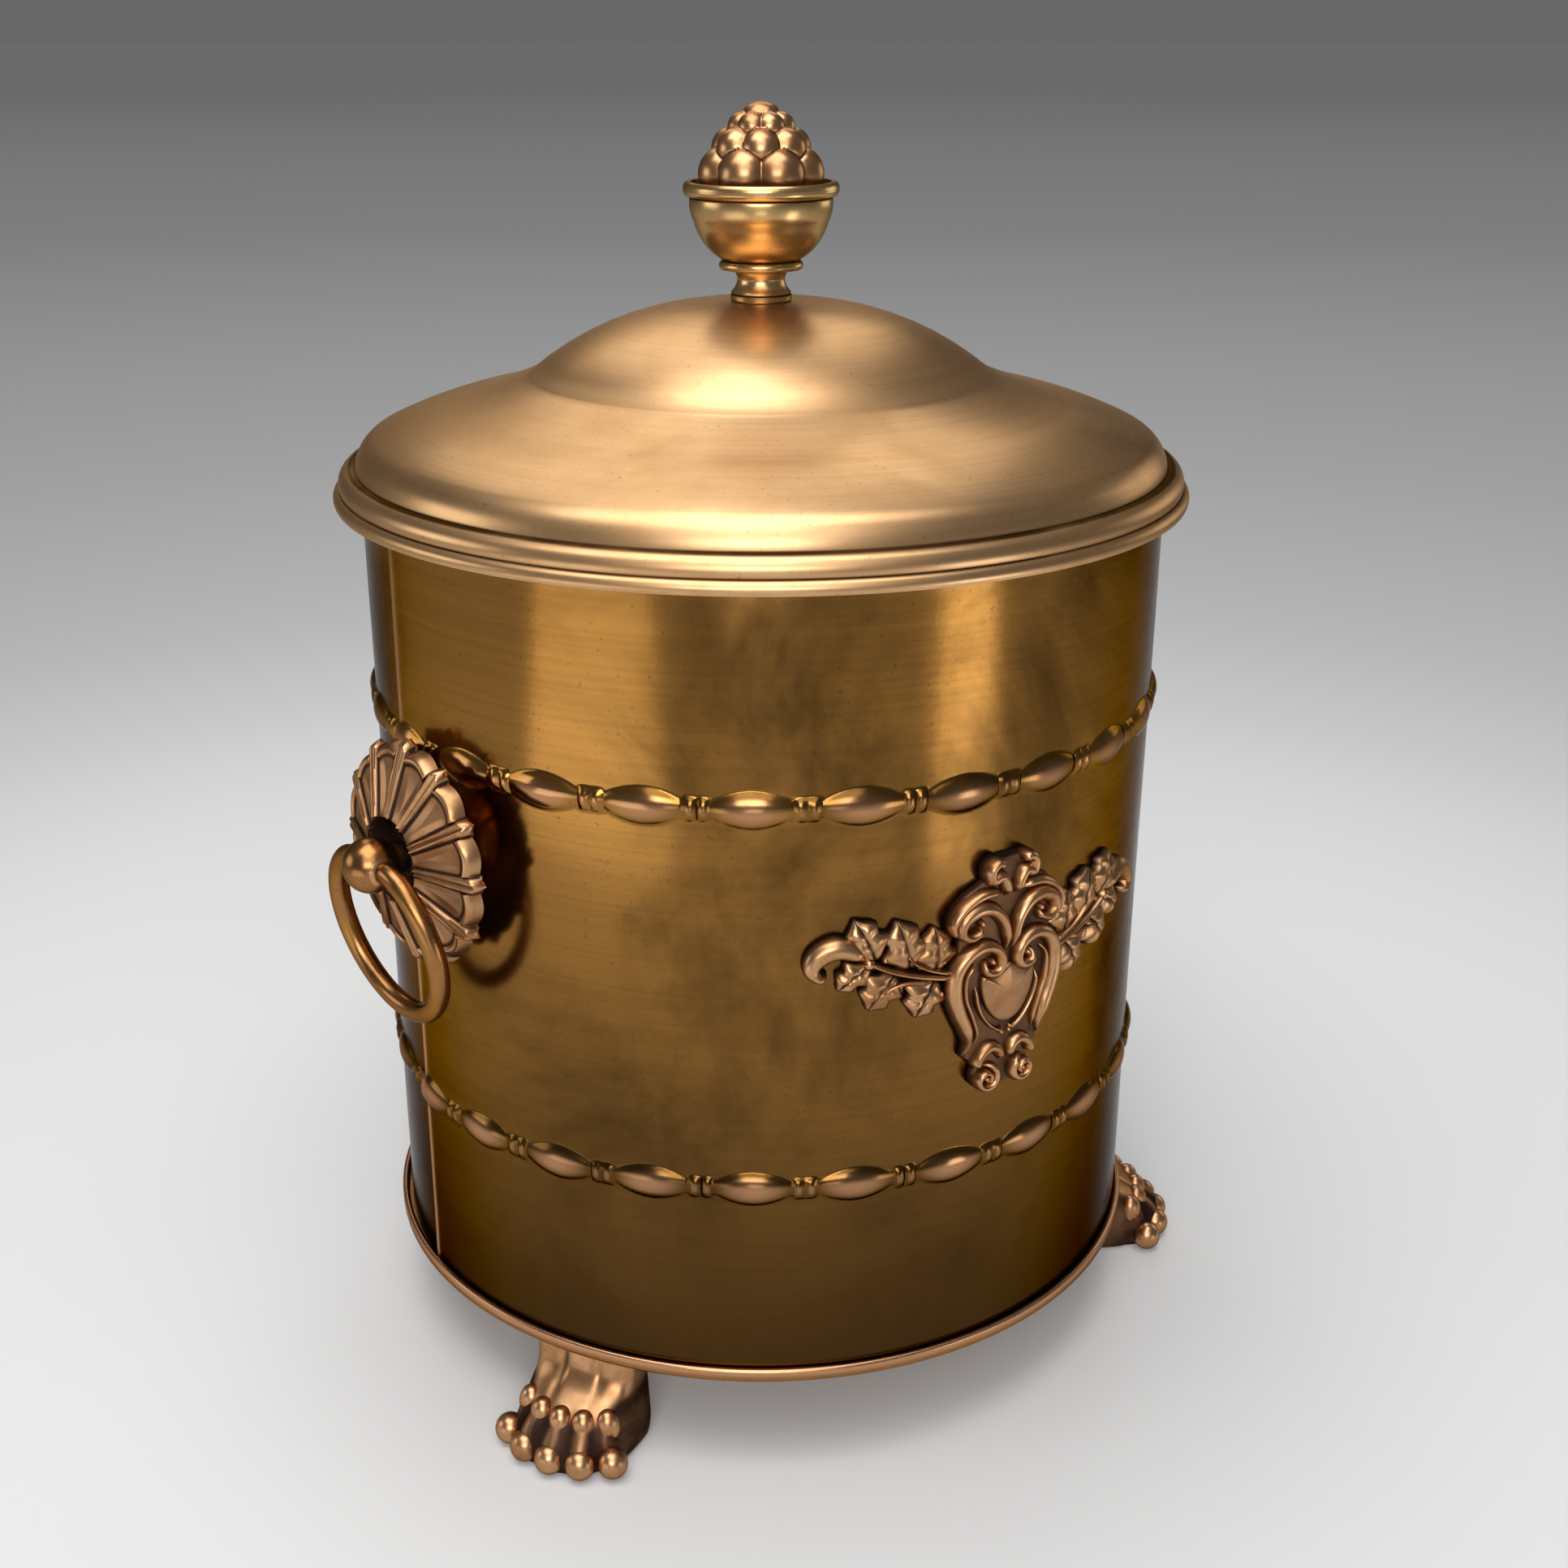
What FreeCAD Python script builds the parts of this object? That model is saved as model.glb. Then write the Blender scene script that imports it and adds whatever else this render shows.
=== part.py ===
"""Lidded brass coal bin: sheet drum, spun lid, paw feet, ring handles and a cast crest.

Millimetres, +Z up, floor at zero, the drum's axis on Z, the crest facing -Y.
"""
import FreeCAD, Part
import math
import os

import Sketcher
from FreeCAD import Placement, Rotation, Vector

# Driving sizes in millimetres, angles in degrees
SIZES = {
    # Shared fits
    "fit_gap": 0.1,
    "thread_gap": 0.08,
    "overrun": 5.0,
    # Drum wall
    "body_radius": 145.0,
    "sheet_gauge": 1.2,
    "wall_height": 291.3,
    "wire_radius": 0.95,
    "wire_gap": 0.3,
    "lap_angle": 2.0,
    "tongue_angle": 1.6,
    "lap_edge_angle": 0.2,
    "jog_height": 6.0,
    # Embossed bands
    "upper_band_height": 214.5,
    "lower_band_height": 77.3,
    "bead_count": 26,
    "bead_length": 25.0,
    "bead_height": 12.0,
    "bead_rise": 2.6,
    "bead_end_rise": 0.9,
    "reel_length": 3.6,
    "reel_pitch": 4.2,
    "reel_height": 8.0,
    "reel_rise": 1.9,
    "reel_edge_rise": 1.3,
    # Base pan
    "stand_height": 36.0,
    "pan_gauge": 1.2,
    "pan_rim_height": 5.0,
    "pan_rim_gauge": 2.6,
    # Paw feet
    "foot_circle": 130.0,
    "foot_screw_circle": 128.0,
    "leg_depth": 27.0,
    "leg_width": 42.0,
    "ankle_height": 26.0,
    "instep_reach": 30.0,
    "instep_height": 14.0,
    "heel_reach": 4.0,
    "sole_radius": 23.0,
    "sole_shift": 13.0,
    "sole_height": 9.0,
    "toe_count": 5,
    "toe_circle": 135.0,
    "toe_radius": 6.3,
    "toe_spread": 20.0,
    "toe_reach": 41.7,
    "knuckle_radius": 5.4,
    "knuckle_reach": 31.4,
    "knuckle_height": 16.5,
    # Screws under the bin
    "foot_screw_radius": 2.5,
    "foot_screw_length": 18.0,
    "foot_screw_head_radius": 5.0,
    "foot_screw_head_height": 3.0,
    "foot_washer_radius": 7.5,
    "foot_washer_gauge": 1.2,
    # Ring handles
    "handle_height": 218.4,
    "handle_turn": 7.5,
    "hub_radius": 12.0,
    "rosette_radius": 38.5,
    "rosette_standoff": 9.0,
    "rosette_gauge": 2.2,
    "rosette_crown_radius": 16.5,
    "rosette_crown_height": 18.6,
    "recess_radius": 14.4,
    "recess_floor": 11.0,
    "recess_floor_radius": 11.6,
    "petal_count": 12,
    "rib_width": 4.2,
    "rib_rise": 1.6,
    "rib_overhang": 2.0,
    "stud_radius": 3.0,
    "ball_radius": 9.5,
    "ball_reach": 27.0,
    "neck_radius": 5.5,
    "collar_radius": 10.4,
    "collar_height": 2.4,
    "collar_step_radius": 8.0,
    "collar_step_height": 2.6,
    "handle_washer_radius": 9.0,
    "handle_washer_gauge": 1.2,
    "handle_nut_flats": 10.0,
    "handle_nut_height": 5.0,
    "stud_tail": 1.5,
    "ring_radius": 30.0,
    "ring_wire_radius": 3.6,
    "ring_bend_radius": 12.0,
    "ring_pin_length": 20.4,
    "ring_rest_angle": 10.0,
    # Crest
    "crest_height": 179.0,
    "crest_relief": 7.0,
    "crest_ground_relief": 4.5,
    "spray_reach": 69.0,
    "rivet_radius": 1.6,
    "rivet_head_radius": 3.2,
    "rivet_head_height": 1.4,
    "rivet_depth": 2.6,
    "rivet_spray_angle": 12.0,
    "rivet_spray_rise": 9.5,
    "rivet_rise": 24.0,
    # Lid, heights above the lip's lower edge
    "lid_seat_drop": 6.9,
    "lid_gauge": 1.4,
    "lip_edge_radius": 153.0,
    "lip_curve": 3.0,
    "groove_radius": 151.0,
    "groove_height": 4.6,
    "bead_curve": 5.0,
    "quirk_radius": 145.2,
    "quirk_height": 11.4,
    "shoulder_radius": 138.0,
    "shoulder_height": 21.8,
    "shoulder_curve": 12.6,
    "slope_radius": 112.0,
    "slope_height": 30.8,
    "slope_curve": 134.0,
    "crease_radius": 82.8,
    "crease_height": 40.8,
    "hollow_curve": 155.0,
    "crown_radius": 10.9,
    "crown_height": 65.5,
    "dome_curve": 110.0,
    "lid_collar_gauge": 1.2,
    "lid_collar_play": 0.8,
    "lid_collar_depth": 10.0,
    "lid_collar_rise": 15.9,
    # Finial
    "rod_radius": 3.0,
    "cup_foot_radius": 10.8,
    "cup_foot_height": 3.2,
    "cup_neck_radius": 7.4,
    "cup_neck_height": 8.4,
    "cup_ring_radius": 14.8,
    "cup_ring_height": 14.0,
    "cup_ring_gauge": 3.0,
    "bowl_foot_radius": 12.0,
    "bowl_curve": 20.0,
    "cup_rim_radius": 27.2,
    "cup_rim_height": 35.4,
    "cup_rim_gauge": 5.2,
    "cup_well_radius": 24.3,
    "cup_well_depth": 6.0,
    "bud_radius": 19.0,
    "bud_height": 32.0,
    "bud_tip_radius": 5.0,
    "bud_curve": 34.0,
    "bud_dome_radius": 8.0,
    "bud_socket_depth": 14.0,
    "finial_washer_radius": 9.0,
    "finial_washer_gauge": 1.2,
    "finial_nut_flats": 10.0,
    "finial_nut_height": 5.0,
    "rod_tail": 2.0,
}

# Right half of the crest as (across, up) shares of the spray's reach
PLATE_SHARES = (
    (0.0, -0.49), (0.06, -0.53), (0.13, -0.55), (0.185, -0.50), (0.185, -0.43), (0.15, -0.38),
    (0.24, -0.345), (0.225, -0.27), (0.24, -0.18), (0.285, -0.08), (0.325, 0.04), (0.335, 0.13),
    (0.30, 0.22), (0.295, 0.31), (0.345, 0.39), (0.34, 0.46), (0.26, 0.535), (0.15, 0.585),
    (0.145, 0.67), (0.10, 0.705), (0.045, 0.69), (0.0, 0.63),
)
STEM_SHARES = (
    (0.25, 0.10), (0.52, 0.145), (0.71, 0.22), (0.75, 0.25), (0.72, 0.285), (0.52, 0.205), (0.25, 0.165),
)
SHIELD_SHARES = (
    (0.0, -0.18), (0.08, -0.14), (0.14, -0.07), (0.165, 0.02), (0.165, 0.09), (0.11, 0.085), (0.06, 0.12),
    (0.0, 0.145),
)
# Leaf base and tip, and width
UPPER_LEAF_SHARES = (
    ((0.39, 0.14), (0.415, 0.40), 0.155),
    ((0.53, 0.175), (0.61, 0.46), 0.165),
    ((0.70, 0.24), (0.80, 0.485), 0.15),
)
LOWER_LEAF_SHARES = (
    ((0.72, 0.26), (0.87, 0.13), 0.11),
    ((0.60, 0.205), (0.72, 0.015), 0.15),
    ((0.38, 0.15), (0.51, -0.06), 0.17),
)
END_LEAF_SHARES = (((0.70, 0.24), (1.0, 0.26), 0.13),)
# Boss centre and radius: top knob, upper scroll, volute, foot scroll and berry
BOSS_SHARES = (
    ((0.085, 0.655), 0.05),
    ((0.21, 0.43), 0.12),
    ((0.12, 0.25), 0.08),
    ((0.12, -0.475), 0.07),
    ((0.725, 0.255), 0.035),
)
# Bud rows as (height share of the bud, size share of the bottom dome, part of a pitch turned)
BUD_ROW_SHARES = ((0.26, 1.0, 0.0), (0.52, 0.86, 0.5), (0.76, 0.66, 0.0))
# How far a bud dome's centre sits inside the bud's face, as a share of its radius
DOME_SINK_SHARE = 0.5
DOMES_PER_ROW = 7
FOOT_COUNT = 3


class Size:
    """A number that carries its value and its spreadsheet formula through sums."""

    def __init__(self, value, formula):
        self.value = value
        self.formula = formula

    def __add__(self, other):
        other = as_size(other)
        return Size(self.value + other.value, f"({self.formula} + {other.formula})")

    def __sub__(self, other):
        other = as_size(other)
        return Size(self.value - other.value, f"({self.formula} - {other.formula})")

    def __mul__(self, other):
        other = as_size(other)
        return Size(self.value * other.value, f"({self.formula} * {other.formula})")

    def __truediv__(self, other):
        other = as_size(other)
        return Size(self.value / other.value, f"({self.formula} / {other.formula})")

    def __neg__(self):
        return Size(-self.value, f"(0 - {self.formula})")

    def __rsub__(self, other):
        return as_size(other) - self

    __radd__ = __add__
    __rmul__ = __mul__

    def __rtruediv__(self, other):
        return as_size(other) / self


def as_size(number):
    """A plain number as a Size."""
    if isinstance(number, Size):
        return number
    return Size(float(number), repr(float(number)))


def root(size):
    """Square root of a Size."""
    return Size(math.sqrt(size.value), f"sqrt({size.formula})")


def sine(angle):
    """Sine of a Size in degrees."""
    return Size(math.sin(math.radians(angle.value)), f"sin({angle.formula})")


def cosine(angle):
    """Cosine of a Size in degrees."""
    return Size(math.cos(math.radians(angle.value)), f"cos({angle.formula})")


def arc_radius(half_chord, rise):
    """Radius of the arc that rises by `rise` over a chord."""
    return (half_chord * half_chord + rise * rise) / (rise * 2)


doc = FreeCAD.newDocument("coal_bin")
sheet = doc.addObject("Spreadsheet::Sheet", "Sizes")
for row, (alias, number) in enumerate(SIZES.items(), 1):
    sheet.set(f"A{row}", alias)
    sheet.set(f"B{row}", str(number))
    sheet.setAlias(f"B{row}", alias)
doc.recompute()

# Every driving size as a Size, read back from the sheet
D = {alias: Size(float(sheet.get(alias)), f"Sizes.{alias}") for alias in SIZES}
subparts = []


def bind(target, path, size):
    """Tie one property of an object to a formula."""
    target.setExpression(path, as_size(size).formula)


def new_body(label):
    """An empty body that becomes one node."""
    body = doc.addObject("PartDesign::Body", label)
    body.Label = label
    subparts.append(body)
    return body


def place(target, base=(0, 0, 0), rotation=None):
    """Set a placement and tie its position to formulas."""
    spots = [as_size(value) for value in base]
    target.Placement = Placement(Vector(*[spot.value for spot in spots]), rotation or Rotation())
    for axis, spot in zip("xyz", spots):
        bind(target, f"Placement.Base.{axis}", spot)


def origin_feature(body, role):
    """One of a body's own origin planes or axes."""
    return next(item for item in body.Origin.OriginFeatures if item.Role == role)


def new_sketch(body, name, plane, lift=0, axis=None, turn=0):
    """A sketch on an origin plane, lifted along its normal and turned about one of its axes."""
    sketch = body.newObject("Sketcher::SketchObject", name)
    sketch.AttachmentSupport = [(origin_feature(body, plane), "")]
    sketch.MapMode = "FlatFace"
    lift = as_size(lift)
    turn = as_size(turn)
    rotation = Rotation(Vector(*axis), turn.value) if axis else Rotation()
    sketch.AttachmentOffset = Placement(Vector(0, 0, lift.value), rotation)
    bind(sketch, "AttachmentOffset.Base.z", lift)
    if axis:
        bind(sketch, "AttachmentOffset.Rotation.Angle", turn)
    return sketch


def pin_point(sketch, edge, end, x, y):
    """Fix one end of an edge at formulas in x and y."""
    for kind, size in (("DistanceX", as_size(x)), ("DistanceY", as_size(y))):
        index = sketch.addConstraint(Sketcher.Constraint(kind, -1, 1, edge, end, size.value))
        bind(sketch, f"Constraints[{index}]", size)


def arc_between(start, end, radius, large):
    """Arc of a signed radius, anticlockwise from start to end if positive, and its end numbers."""
    chord = end - start
    half = chord.Length / 2
    reach = math.sqrt(max(radius * radius - half * half, 0.0))
    normal = Vector(-chord.y, chord.x, 0) / chord.Length
    side = 1 if (radius > 0) != large else -1
    centre = (start + end) * 0.5 + normal * (reach * side)
    first, last = (start, end) if radius > 0 else (end, start)
    circle = Part.Circle(centre, Vector(0, 0, 1), abs(radius))
    angles = [math.atan2(spot.y - centre.y, spot.x - centre.x) for spot in (first, last)]
    ends = (1, 2) if radius > 0 else (2, 1)
    return Part.ArcOfCircle(circle, *angles), ends


def outline(sketch, corners):
    """Closed lines and arcs through corners (x, y), (x, y, radius) or (x, y, radius, True for the long way).

    A corner's radius bends the edge that leaves it: anticlockwise if positive, clockwise if negative.
    """
    spots = [Vector(as_size(corner[0]).value, as_size(corner[1]).value, 0) for corner in corners]
    count = len(corners)
    first = sketch.GeometryCount
    ends = []
    for index in range(count):
        corner = corners[index]
        start = spots[index]
        finish = spots[(index + 1) % len(spots)]
        if len(corner) == 2:
            edge, edge_ends = Part.LineSegment(start, finish), (1, 2)
        else:
            edge, edge_ends = arc_between(start, finish, corner[2].value, len(corner) == 4)
        sketch.addGeometry(edge, False)
        ends.append(edge_ends)
    for index in range(count):
        corner = corners[index]
        edge = first + index
        pin_point(sketch, edge, ends[index][0], corner[0], corner[1])
        if len(corner) > 2:
            size = corner[2] if corner[2].value > 0 else -corner[2]
            number = sketch.addConstraint(Sketcher.Constraint("Radius", edge, size.value))
            bind(sketch, f"Constraints[{number}]", size)
        follower = (index + 1) % count
        sketch.addConstraint(
            Sketcher.Constraint("Coincident", edge, ends[index][1], first + follower, ends[follower][0])
        )


def disc(sketch, x, y, radius):
    """One full circle."""
    centre = Vector(as_size(x).value, as_size(y).value, 0)
    index = sketch.addGeometry(Part.Circle(centre, Vector(0, 0, 1), radius.value), False)
    pin_point(sketch, index, 3, x, y)
    number = sketch.addConstraint(Sketcher.Constraint("Radius", index, radius.value))
    bind(sketch, f"Constraints[{number}]", radius)


def revolve(body, sketch, angle=None):
    """Turn a profile about its sketch's vertical axis, whole or evenly about its plane."""
    feature = body.newObject("PartDesign::Revolution", sketch.Name + "_turned")
    feature.Profile = sketch
    feature.ReferenceAxis = (sketch, ["V_Axis"])
    feature.Angle = 360.0
    if angle is not None:
        feature.Midplane = True
        bind(feature, "Angle", angle)
    return feature


def spin_line(sketch, low, high):
    """A construction line to turn a profile about."""
    ends = [Vector(as_size(spot[0]).value, as_size(spot[1]).value, 0) for spot in (low, high)]
    edge = sketch.addGeometry(Part.LineSegment(*ends), True)
    pin_point(sketch, edge, 1, *low)
    pin_point(sketch, edge, 2, *high)


def revolve_about_line(body, sketch):
    """Turn a profile about its sketch's construction line."""
    feature = body.newObject("PartDesign::Revolution", sketch.Name + "_turned")
    feature.Profile = sketch
    feature.ReferenceAxis = (sketch, ["Axis0"])
    feature.Angle = 360.0
    feature.Refine = False
    return feature


def pad(body, sketch, length, symmetric=False):
    """Extrude a profile along its sketch's normal, or evenly about its plane."""
    feature = body.newObject("PartDesign::Pad", sketch.Name + "_pad")
    feature.Profile = sketch
    feature.Refine = False
    if symmetric:
        feature.SideType = "Symmetric"
    bind(feature, "Length", length)
    return feature


def pocket(body, sketch, length, symmetric=False):
    """Cut a profile along its sketch's normal, or evenly about its plane."""
    feature = body.newObject("PartDesign::Pocket", sketch.Name + "_cut")
    feature.Profile = sketch
    feature.Refine = False
    if symmetric:
        feature.SideType = "Symmetric"
    else:
        feature.Reversed = True
    bind(feature, "Length", length)
    return feature


def polar(body, features, count, angle):
    """Repeat features about the body's Z axis, over an angle that holds the last copy."""
    pattern = body.newObject("PartDesign::PolarPattern", features[0].Name + "_round")
    pattern.Originals = features
    pattern.Refine = False
    pattern.Axis = (origin_feature(body, "Z_Axis"), [""])
    bind(pattern, "Occurrences", count)
    bind(pattern, "Angle", angle)
    body.Tip = pattern
    return pattern


def drill(body, name, turn, height, radius):
    """A round hole straight out from the axis, at an angle from the body's X axis."""
    sketch = new_sketch(body, name, "YZ_Plane", axis=(0, 1, 0), turn=turn)
    disc(sketch, 0, height, radius)
    return pocket(body, sketch, D["body_radius"] + D["overrun"])


# Places that several pieces share
pan_top = D["stand_height"] + D["pan_gauge"]
rear_radius = D["body_radius"] - D["sheet_gauge"] - D["fit_gap"]
roll_height = pan_top + D["wall_height"]
roll_inner = D["wire_radius"] + D["wire_gap"]
roll_outer = roll_inner + D["sheet_gauge"]
wire_circle = D["body_radius"] + roll_inner
upper_band = D["stand_height"] + D["upper_band_height"]
lower_band = D["stand_height"] + D["lower_band_height"]
pitch_angle = 360 / D["bead_count"]
lid_seat = roll_height - D["lid_seat_drop"]
foot_hole_radius = D["foot_screw_radius"] + D["fit_gap"]
stud_hole_radius = D["stud_radius"] + D["fit_gap"]
rod_hole_radius = D["rod_radius"] + D["fit_gap"]
rivet_hole_radius = D["rivet_radius"] + D["fit_gap"]
crest_rivets = (
    (as_size(90), D["crest_height"] + D["rivet_rise"]),
    (90 - D["rivet_spray_angle"], D["crest_height"] + D["rivet_spray_rise"]),
    (90 + D["rivet_spray_angle"], D["crest_height"] + D["rivet_spray_rise"]),
)


def barrels(body, name, radius, height, shape, spots, start):
    """Barrels along the wall: each is an arc turned about a tangent line sunk behind the wall's face."""
    length, tall, rise, edge_rise = shape
    cross = arc_radius(tall / 2, rise)
    axis = radius + rise - cross
    bulge = arc_radius(length / 2, rise - edge_rise)
    sketch = new_sketch(body, name, "XY_Plane", lift=height, axis=(0, 0, 1), turn=start)
    for spot in spots:
        low = spot - length / 2
        high = spot + length / 2
        outline(sketch, (
            (axis, low),
            (radius + edge_rise, low, bulge),
            (radius + edge_rise, high),
            (axis, high),
        ))
    spin_line(sketch, (axis, -length), (axis, length))
    return revolve_about_line(body, sketch)


def emboss(body, radius, bead_start, unit_count, last):
    """Both bands of one half sheet: bead and reels repeated round it, and one last piece at the far side."""
    shapes = {
        "bead": (D["bead_length"], D["bead_height"], D["bead_rise"], D["bead_end_rise"]),
        "reel": (D["reel_length"], D["reel_height"], D["reel_rise"], D["reel_edge_rise"]),
    }
    spots = {"bead": (as_size(0),), "reel": (-D["reel_pitch"] / 2, D["reel_pitch"] / 2)}
    last_kind, last_turn = last
    starts = {"bead": bead_start, "reel": bead_start + pitch_angle / 2}
    units = []
    for name, height in (("upper", upper_band), ("lower", lower_band)):
        barrels(body, f"{name}_last", radius, height, shapes[last_kind], spots[last_kind], last_turn)
        for kind, start in starts.items():
            units.append(barrels(body, f"{name}_{kind}", radius, height, shapes[kind], spots[kind], start))
    polar(body, units, unit_count, pitch_angle * (unit_count - 1))


def front_wall():
    """Front half sheet, rolled outward over the rim wire and lapped over the rear half at both sides."""
    body = new_body("front_wall_sheet")
    sketch = new_sketch(body, "front_section", "YZ_Plane")
    outside = D["body_radius"]
    inside = outside - D["sheet_gauge"]
    outline(sketch, (
        (inside, pan_top),
        (outside, pan_top),
        (outside, roll_height, -roll_inner, True),
        (wire_circle, roll_height - roll_inner),
        (wire_circle, roll_height - roll_outer, roll_outer, True),
        (inside, roll_height),
    ))
    revolve(body, sketch, 180 + D["lap_angle"] * 2)
    drill(body, "handle_hole", D["handle_turn"], D["handle_height"], stud_hole_radius)
    for index, (turn, height) in enumerate(crest_rivets):
        drill(body, f"rivet_hole_{index}", turn, height, rivet_hole_radius)
    emboss(body, outside, as_size(0), D["bead_count"] / 2, ("bead", as_size(180)))
    reach = outside + D["overrun"]
    along = cosine(D["lap_angle"])
    behind = -sine(D["lap_angle"])
    trim = new_sketch(body, "inside_and_side_edges", "XY_Plane")
    outline(trim, (
        (inside * along, inside * behind, inside, True),
        (-inside * along, inside * behind),
        (-reach * along, reach * behind),
        (-reach * along, -reach),
        (reach * along, -reach),
        (reach * along, reach * behind),
    ))
    pocket(body, trim, roll_height + D["overrun"])
    place(body, rotation=Rotation(Vector(0, 0, 1), 180))


def rear_wall():
    """Rear half sheet, one gauge further in, jogged out to the same rolled rim."""
    body = new_body("rear_wall_sheet")
    inside = rear_radius - D["sheet_gauge"]
    jog_top = roll_height - D["jog_height"]
    jog_foot = jog_top - D["jog_height"]
    sketch = new_sketch(body, "rear_section", "YZ_Plane")
    outline(sketch, (
        (inside, pan_top),
        (rear_radius, pan_top),
        (rear_radius, jog_foot),
        (D["body_radius"], jog_top),
        (D["body_radius"], roll_height, -roll_inner, True),
        (wire_circle, roll_height - roll_inner),
        (wire_circle, roll_height - roll_outer, roll_outer, True),
        (D["body_radius"] - D["sheet_gauge"], roll_height),
        (D["body_radius"] - D["sheet_gauge"], jog_top),
        (inside, jog_foot),
    ))
    revolve(body, sketch, 180 - (D["lap_angle"] + D["lap_edge_angle"]) * 2)
    tongue = new_sketch(body, "tongue", "YZ_Plane")
    outline(tongue, (
        (inside, pan_top),
        (rear_radius, pan_top),
        (rear_radius, jog_foot),
        (inside, jog_foot),
    ))
    revolve(body, tongue, 180 + D["tongue_angle"] * 2)
    drill(body, "handle_hole", D["handle_turn"], D["handle_height"], stud_hole_radius)
    emboss(body, rear_radius, pitch_angle, D["bead_count"] / 2 - 1, ("reel", pitch_angle / 2))
    clearing = new_sketch(body, "inside", "XY_Plane")
    disc(clearing, 0, 0, inside)
    pocket(body, clearing, roll_height + D["overrun"])
    place(body)


def rim_wire():
    """Wire inside the rolled rim."""
    wire = doc.addObject("Part::Torus", "rim_wire")
    wire.Label = "rim_wire"
    bind(wire, "Radius1", wire_circle)
    bind(wire, "Radius2", D["wire_radius"])
    place(wire, (0, 0, roll_height))
    subparts.append(wire)


def base_pan():
    """Bottom disc with its edge turned up and rounded over, outside the wall."""
    body = new_body("base_pan")
    rim_inner = D["body_radius"] + D["fit_gap"]
    rim_outer = rim_inner + D["pan_rim_gauge"]
    rim_round = D["pan_rim_gauge"] / 2
    rim_top = D["stand_height"] + D["pan_rim_height"]
    sketch = new_sketch(body, "pan_section", "XZ_Plane")
    outline(sketch, (
        (0, D["stand_height"]),
        (rim_outer - rim_round, D["stand_height"], rim_round),
        (rim_outer, D["stand_height"] + rim_round),
        (rim_outer, rim_top - rim_round, rim_round),
        (rim_inner, rim_top - rim_round),
        (rim_inner, pan_top),
        (0, pan_top),
    ))
    revolve(body, sketch)
    holes = new_sketch(body, "screw_holes", "XY_Plane", lift=D["stand_height"])
    disc(holes, D["foot_screw_circle"], 0, foot_hole_radius)
    cut = pocket(body, holes, D["pan_gauge"] * 2, symmetric=True)
    polar(body, [cut], FOOT_COUNT, as_size(360) * (FOOT_COUNT - 1) / FOOT_COUNT)
    place(body, rotation=Rotation(Vector(0, 0, 1), 90))


def paw_foot(label, turn):
    """Lion paw pointing out along X before it is turned: leg, sole, knuckles and toes."""
    body = new_body(label)
    middle = D["foot_circle"]
    leg = new_sketch(body, "leg_side", "XZ_Plane")
    outline(leg, (
        (middle - D["leg_depth"] / 2, D["stand_height"]),
        (middle - D["heel_reach"], 0),
        (middle + D["instep_reach"], 0),
        (middle + D["instep_reach"], D["instep_height"]),
        (middle + D["leg_depth"] / 2, D["ankle_height"]),
        (middle + D["leg_depth"] / 2, D["stand_height"]),
    ))
    pad(body, leg, D["leg_width"], symmetric=True)
    sole = body.newObject("PartDesign::AdditiveCylinder", "sole")
    bind(sole, "Radius", D["sole_radius"])
    bind(sole, "Height", D["sole_height"])
    place(sole, (middle + D["sole_shift"], 0, 0))
    rows = (
        ("toe", D["toe_reach"], D["toe_radius"], D["toe_radius"]),
        ("knuckle", D["knuckle_reach"], D["knuckle_radius"], D["knuckle_height"]),
    )
    for name, reach, radius, height in rows:
        for index in range(SIZES["toe_count"]):
            step = index - (SIZES["toe_count"] - 1) / 2
            ball = body.newObject("PartDesign::AdditiveSphere", f"{name}_{index}")
            bind(ball, "Radius", radius)
            angle = D["toe_spread"] * step
            along = D["toe_circle"] + (reach - radius) * cosine(angle)
            place(ball, (along, (reach - radius) * sine(angle), height))
    hole = body.newObject("PartDesign::SubtractiveCylinder", "screw_hole")
    depth = D["foot_screw_length"] + D["fit_gap"]
    bind(hole, "Radius", D["foot_screw_radius"] + D["thread_gap"])
    bind(hole, "Height", depth + D["overrun"])
    place(hole, (D["foot_screw_circle"], 0, D["stand_height"] - depth))
    place(body, rotation=Rotation(Vector(0, 0, 1), turn))


def foot_fasteners():
    """Three screws from inside the bin, each with its washer."""
    washers = new_body("foot_washers")
    inner = new_sketch(washers, "washer", "XY_Plane", lift=pan_top)
    disc(inner, D["foot_screw_circle"], 0, D["foot_washer_radius"])
    disc(inner, D["foot_screw_circle"], 0, foot_hole_radius)
    plate = pad(washers, inner, D["foot_washer_gauge"])
    polar(washers, [plate], FOOT_COUNT, as_size(360) * (FOOT_COUNT - 1) / FOOT_COUNT)
    place(washers, rotation=Rotation(Vector(0, 0, 1), 90))
    screws = new_body("foot_screws")
    head_seat = pan_top + D["foot_washer_gauge"]
    tip = D["stand_height"] - D["foot_screw_length"]
    section = new_sketch(screws, "screw_section", "XZ_Plane")
    middle = D["foot_screw_circle"]
    head_top = head_seat + D["foot_screw_head_height"]
    outline(section, (
        (middle, tip),
        (middle + D["foot_screw_radius"], tip),
        (middle + D["foot_screw_radius"], head_seat),
        (middle + D["foot_screw_head_radius"], head_seat),
        (middle + D["foot_screw_head_radius"], head_top),
        (middle, head_top),
    ))
    spin_line(section, (middle, tip), (middle, head_top))
    screw = revolve_about_line(screws, section)
    polar(screws, [screw], FOOT_COUNT, as_size(360) * (FOOT_COUNT - 1) / FOOT_COUNT)
    place(screws, rotation=Rotation(Vector(0, 0, 1), 90))


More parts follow.
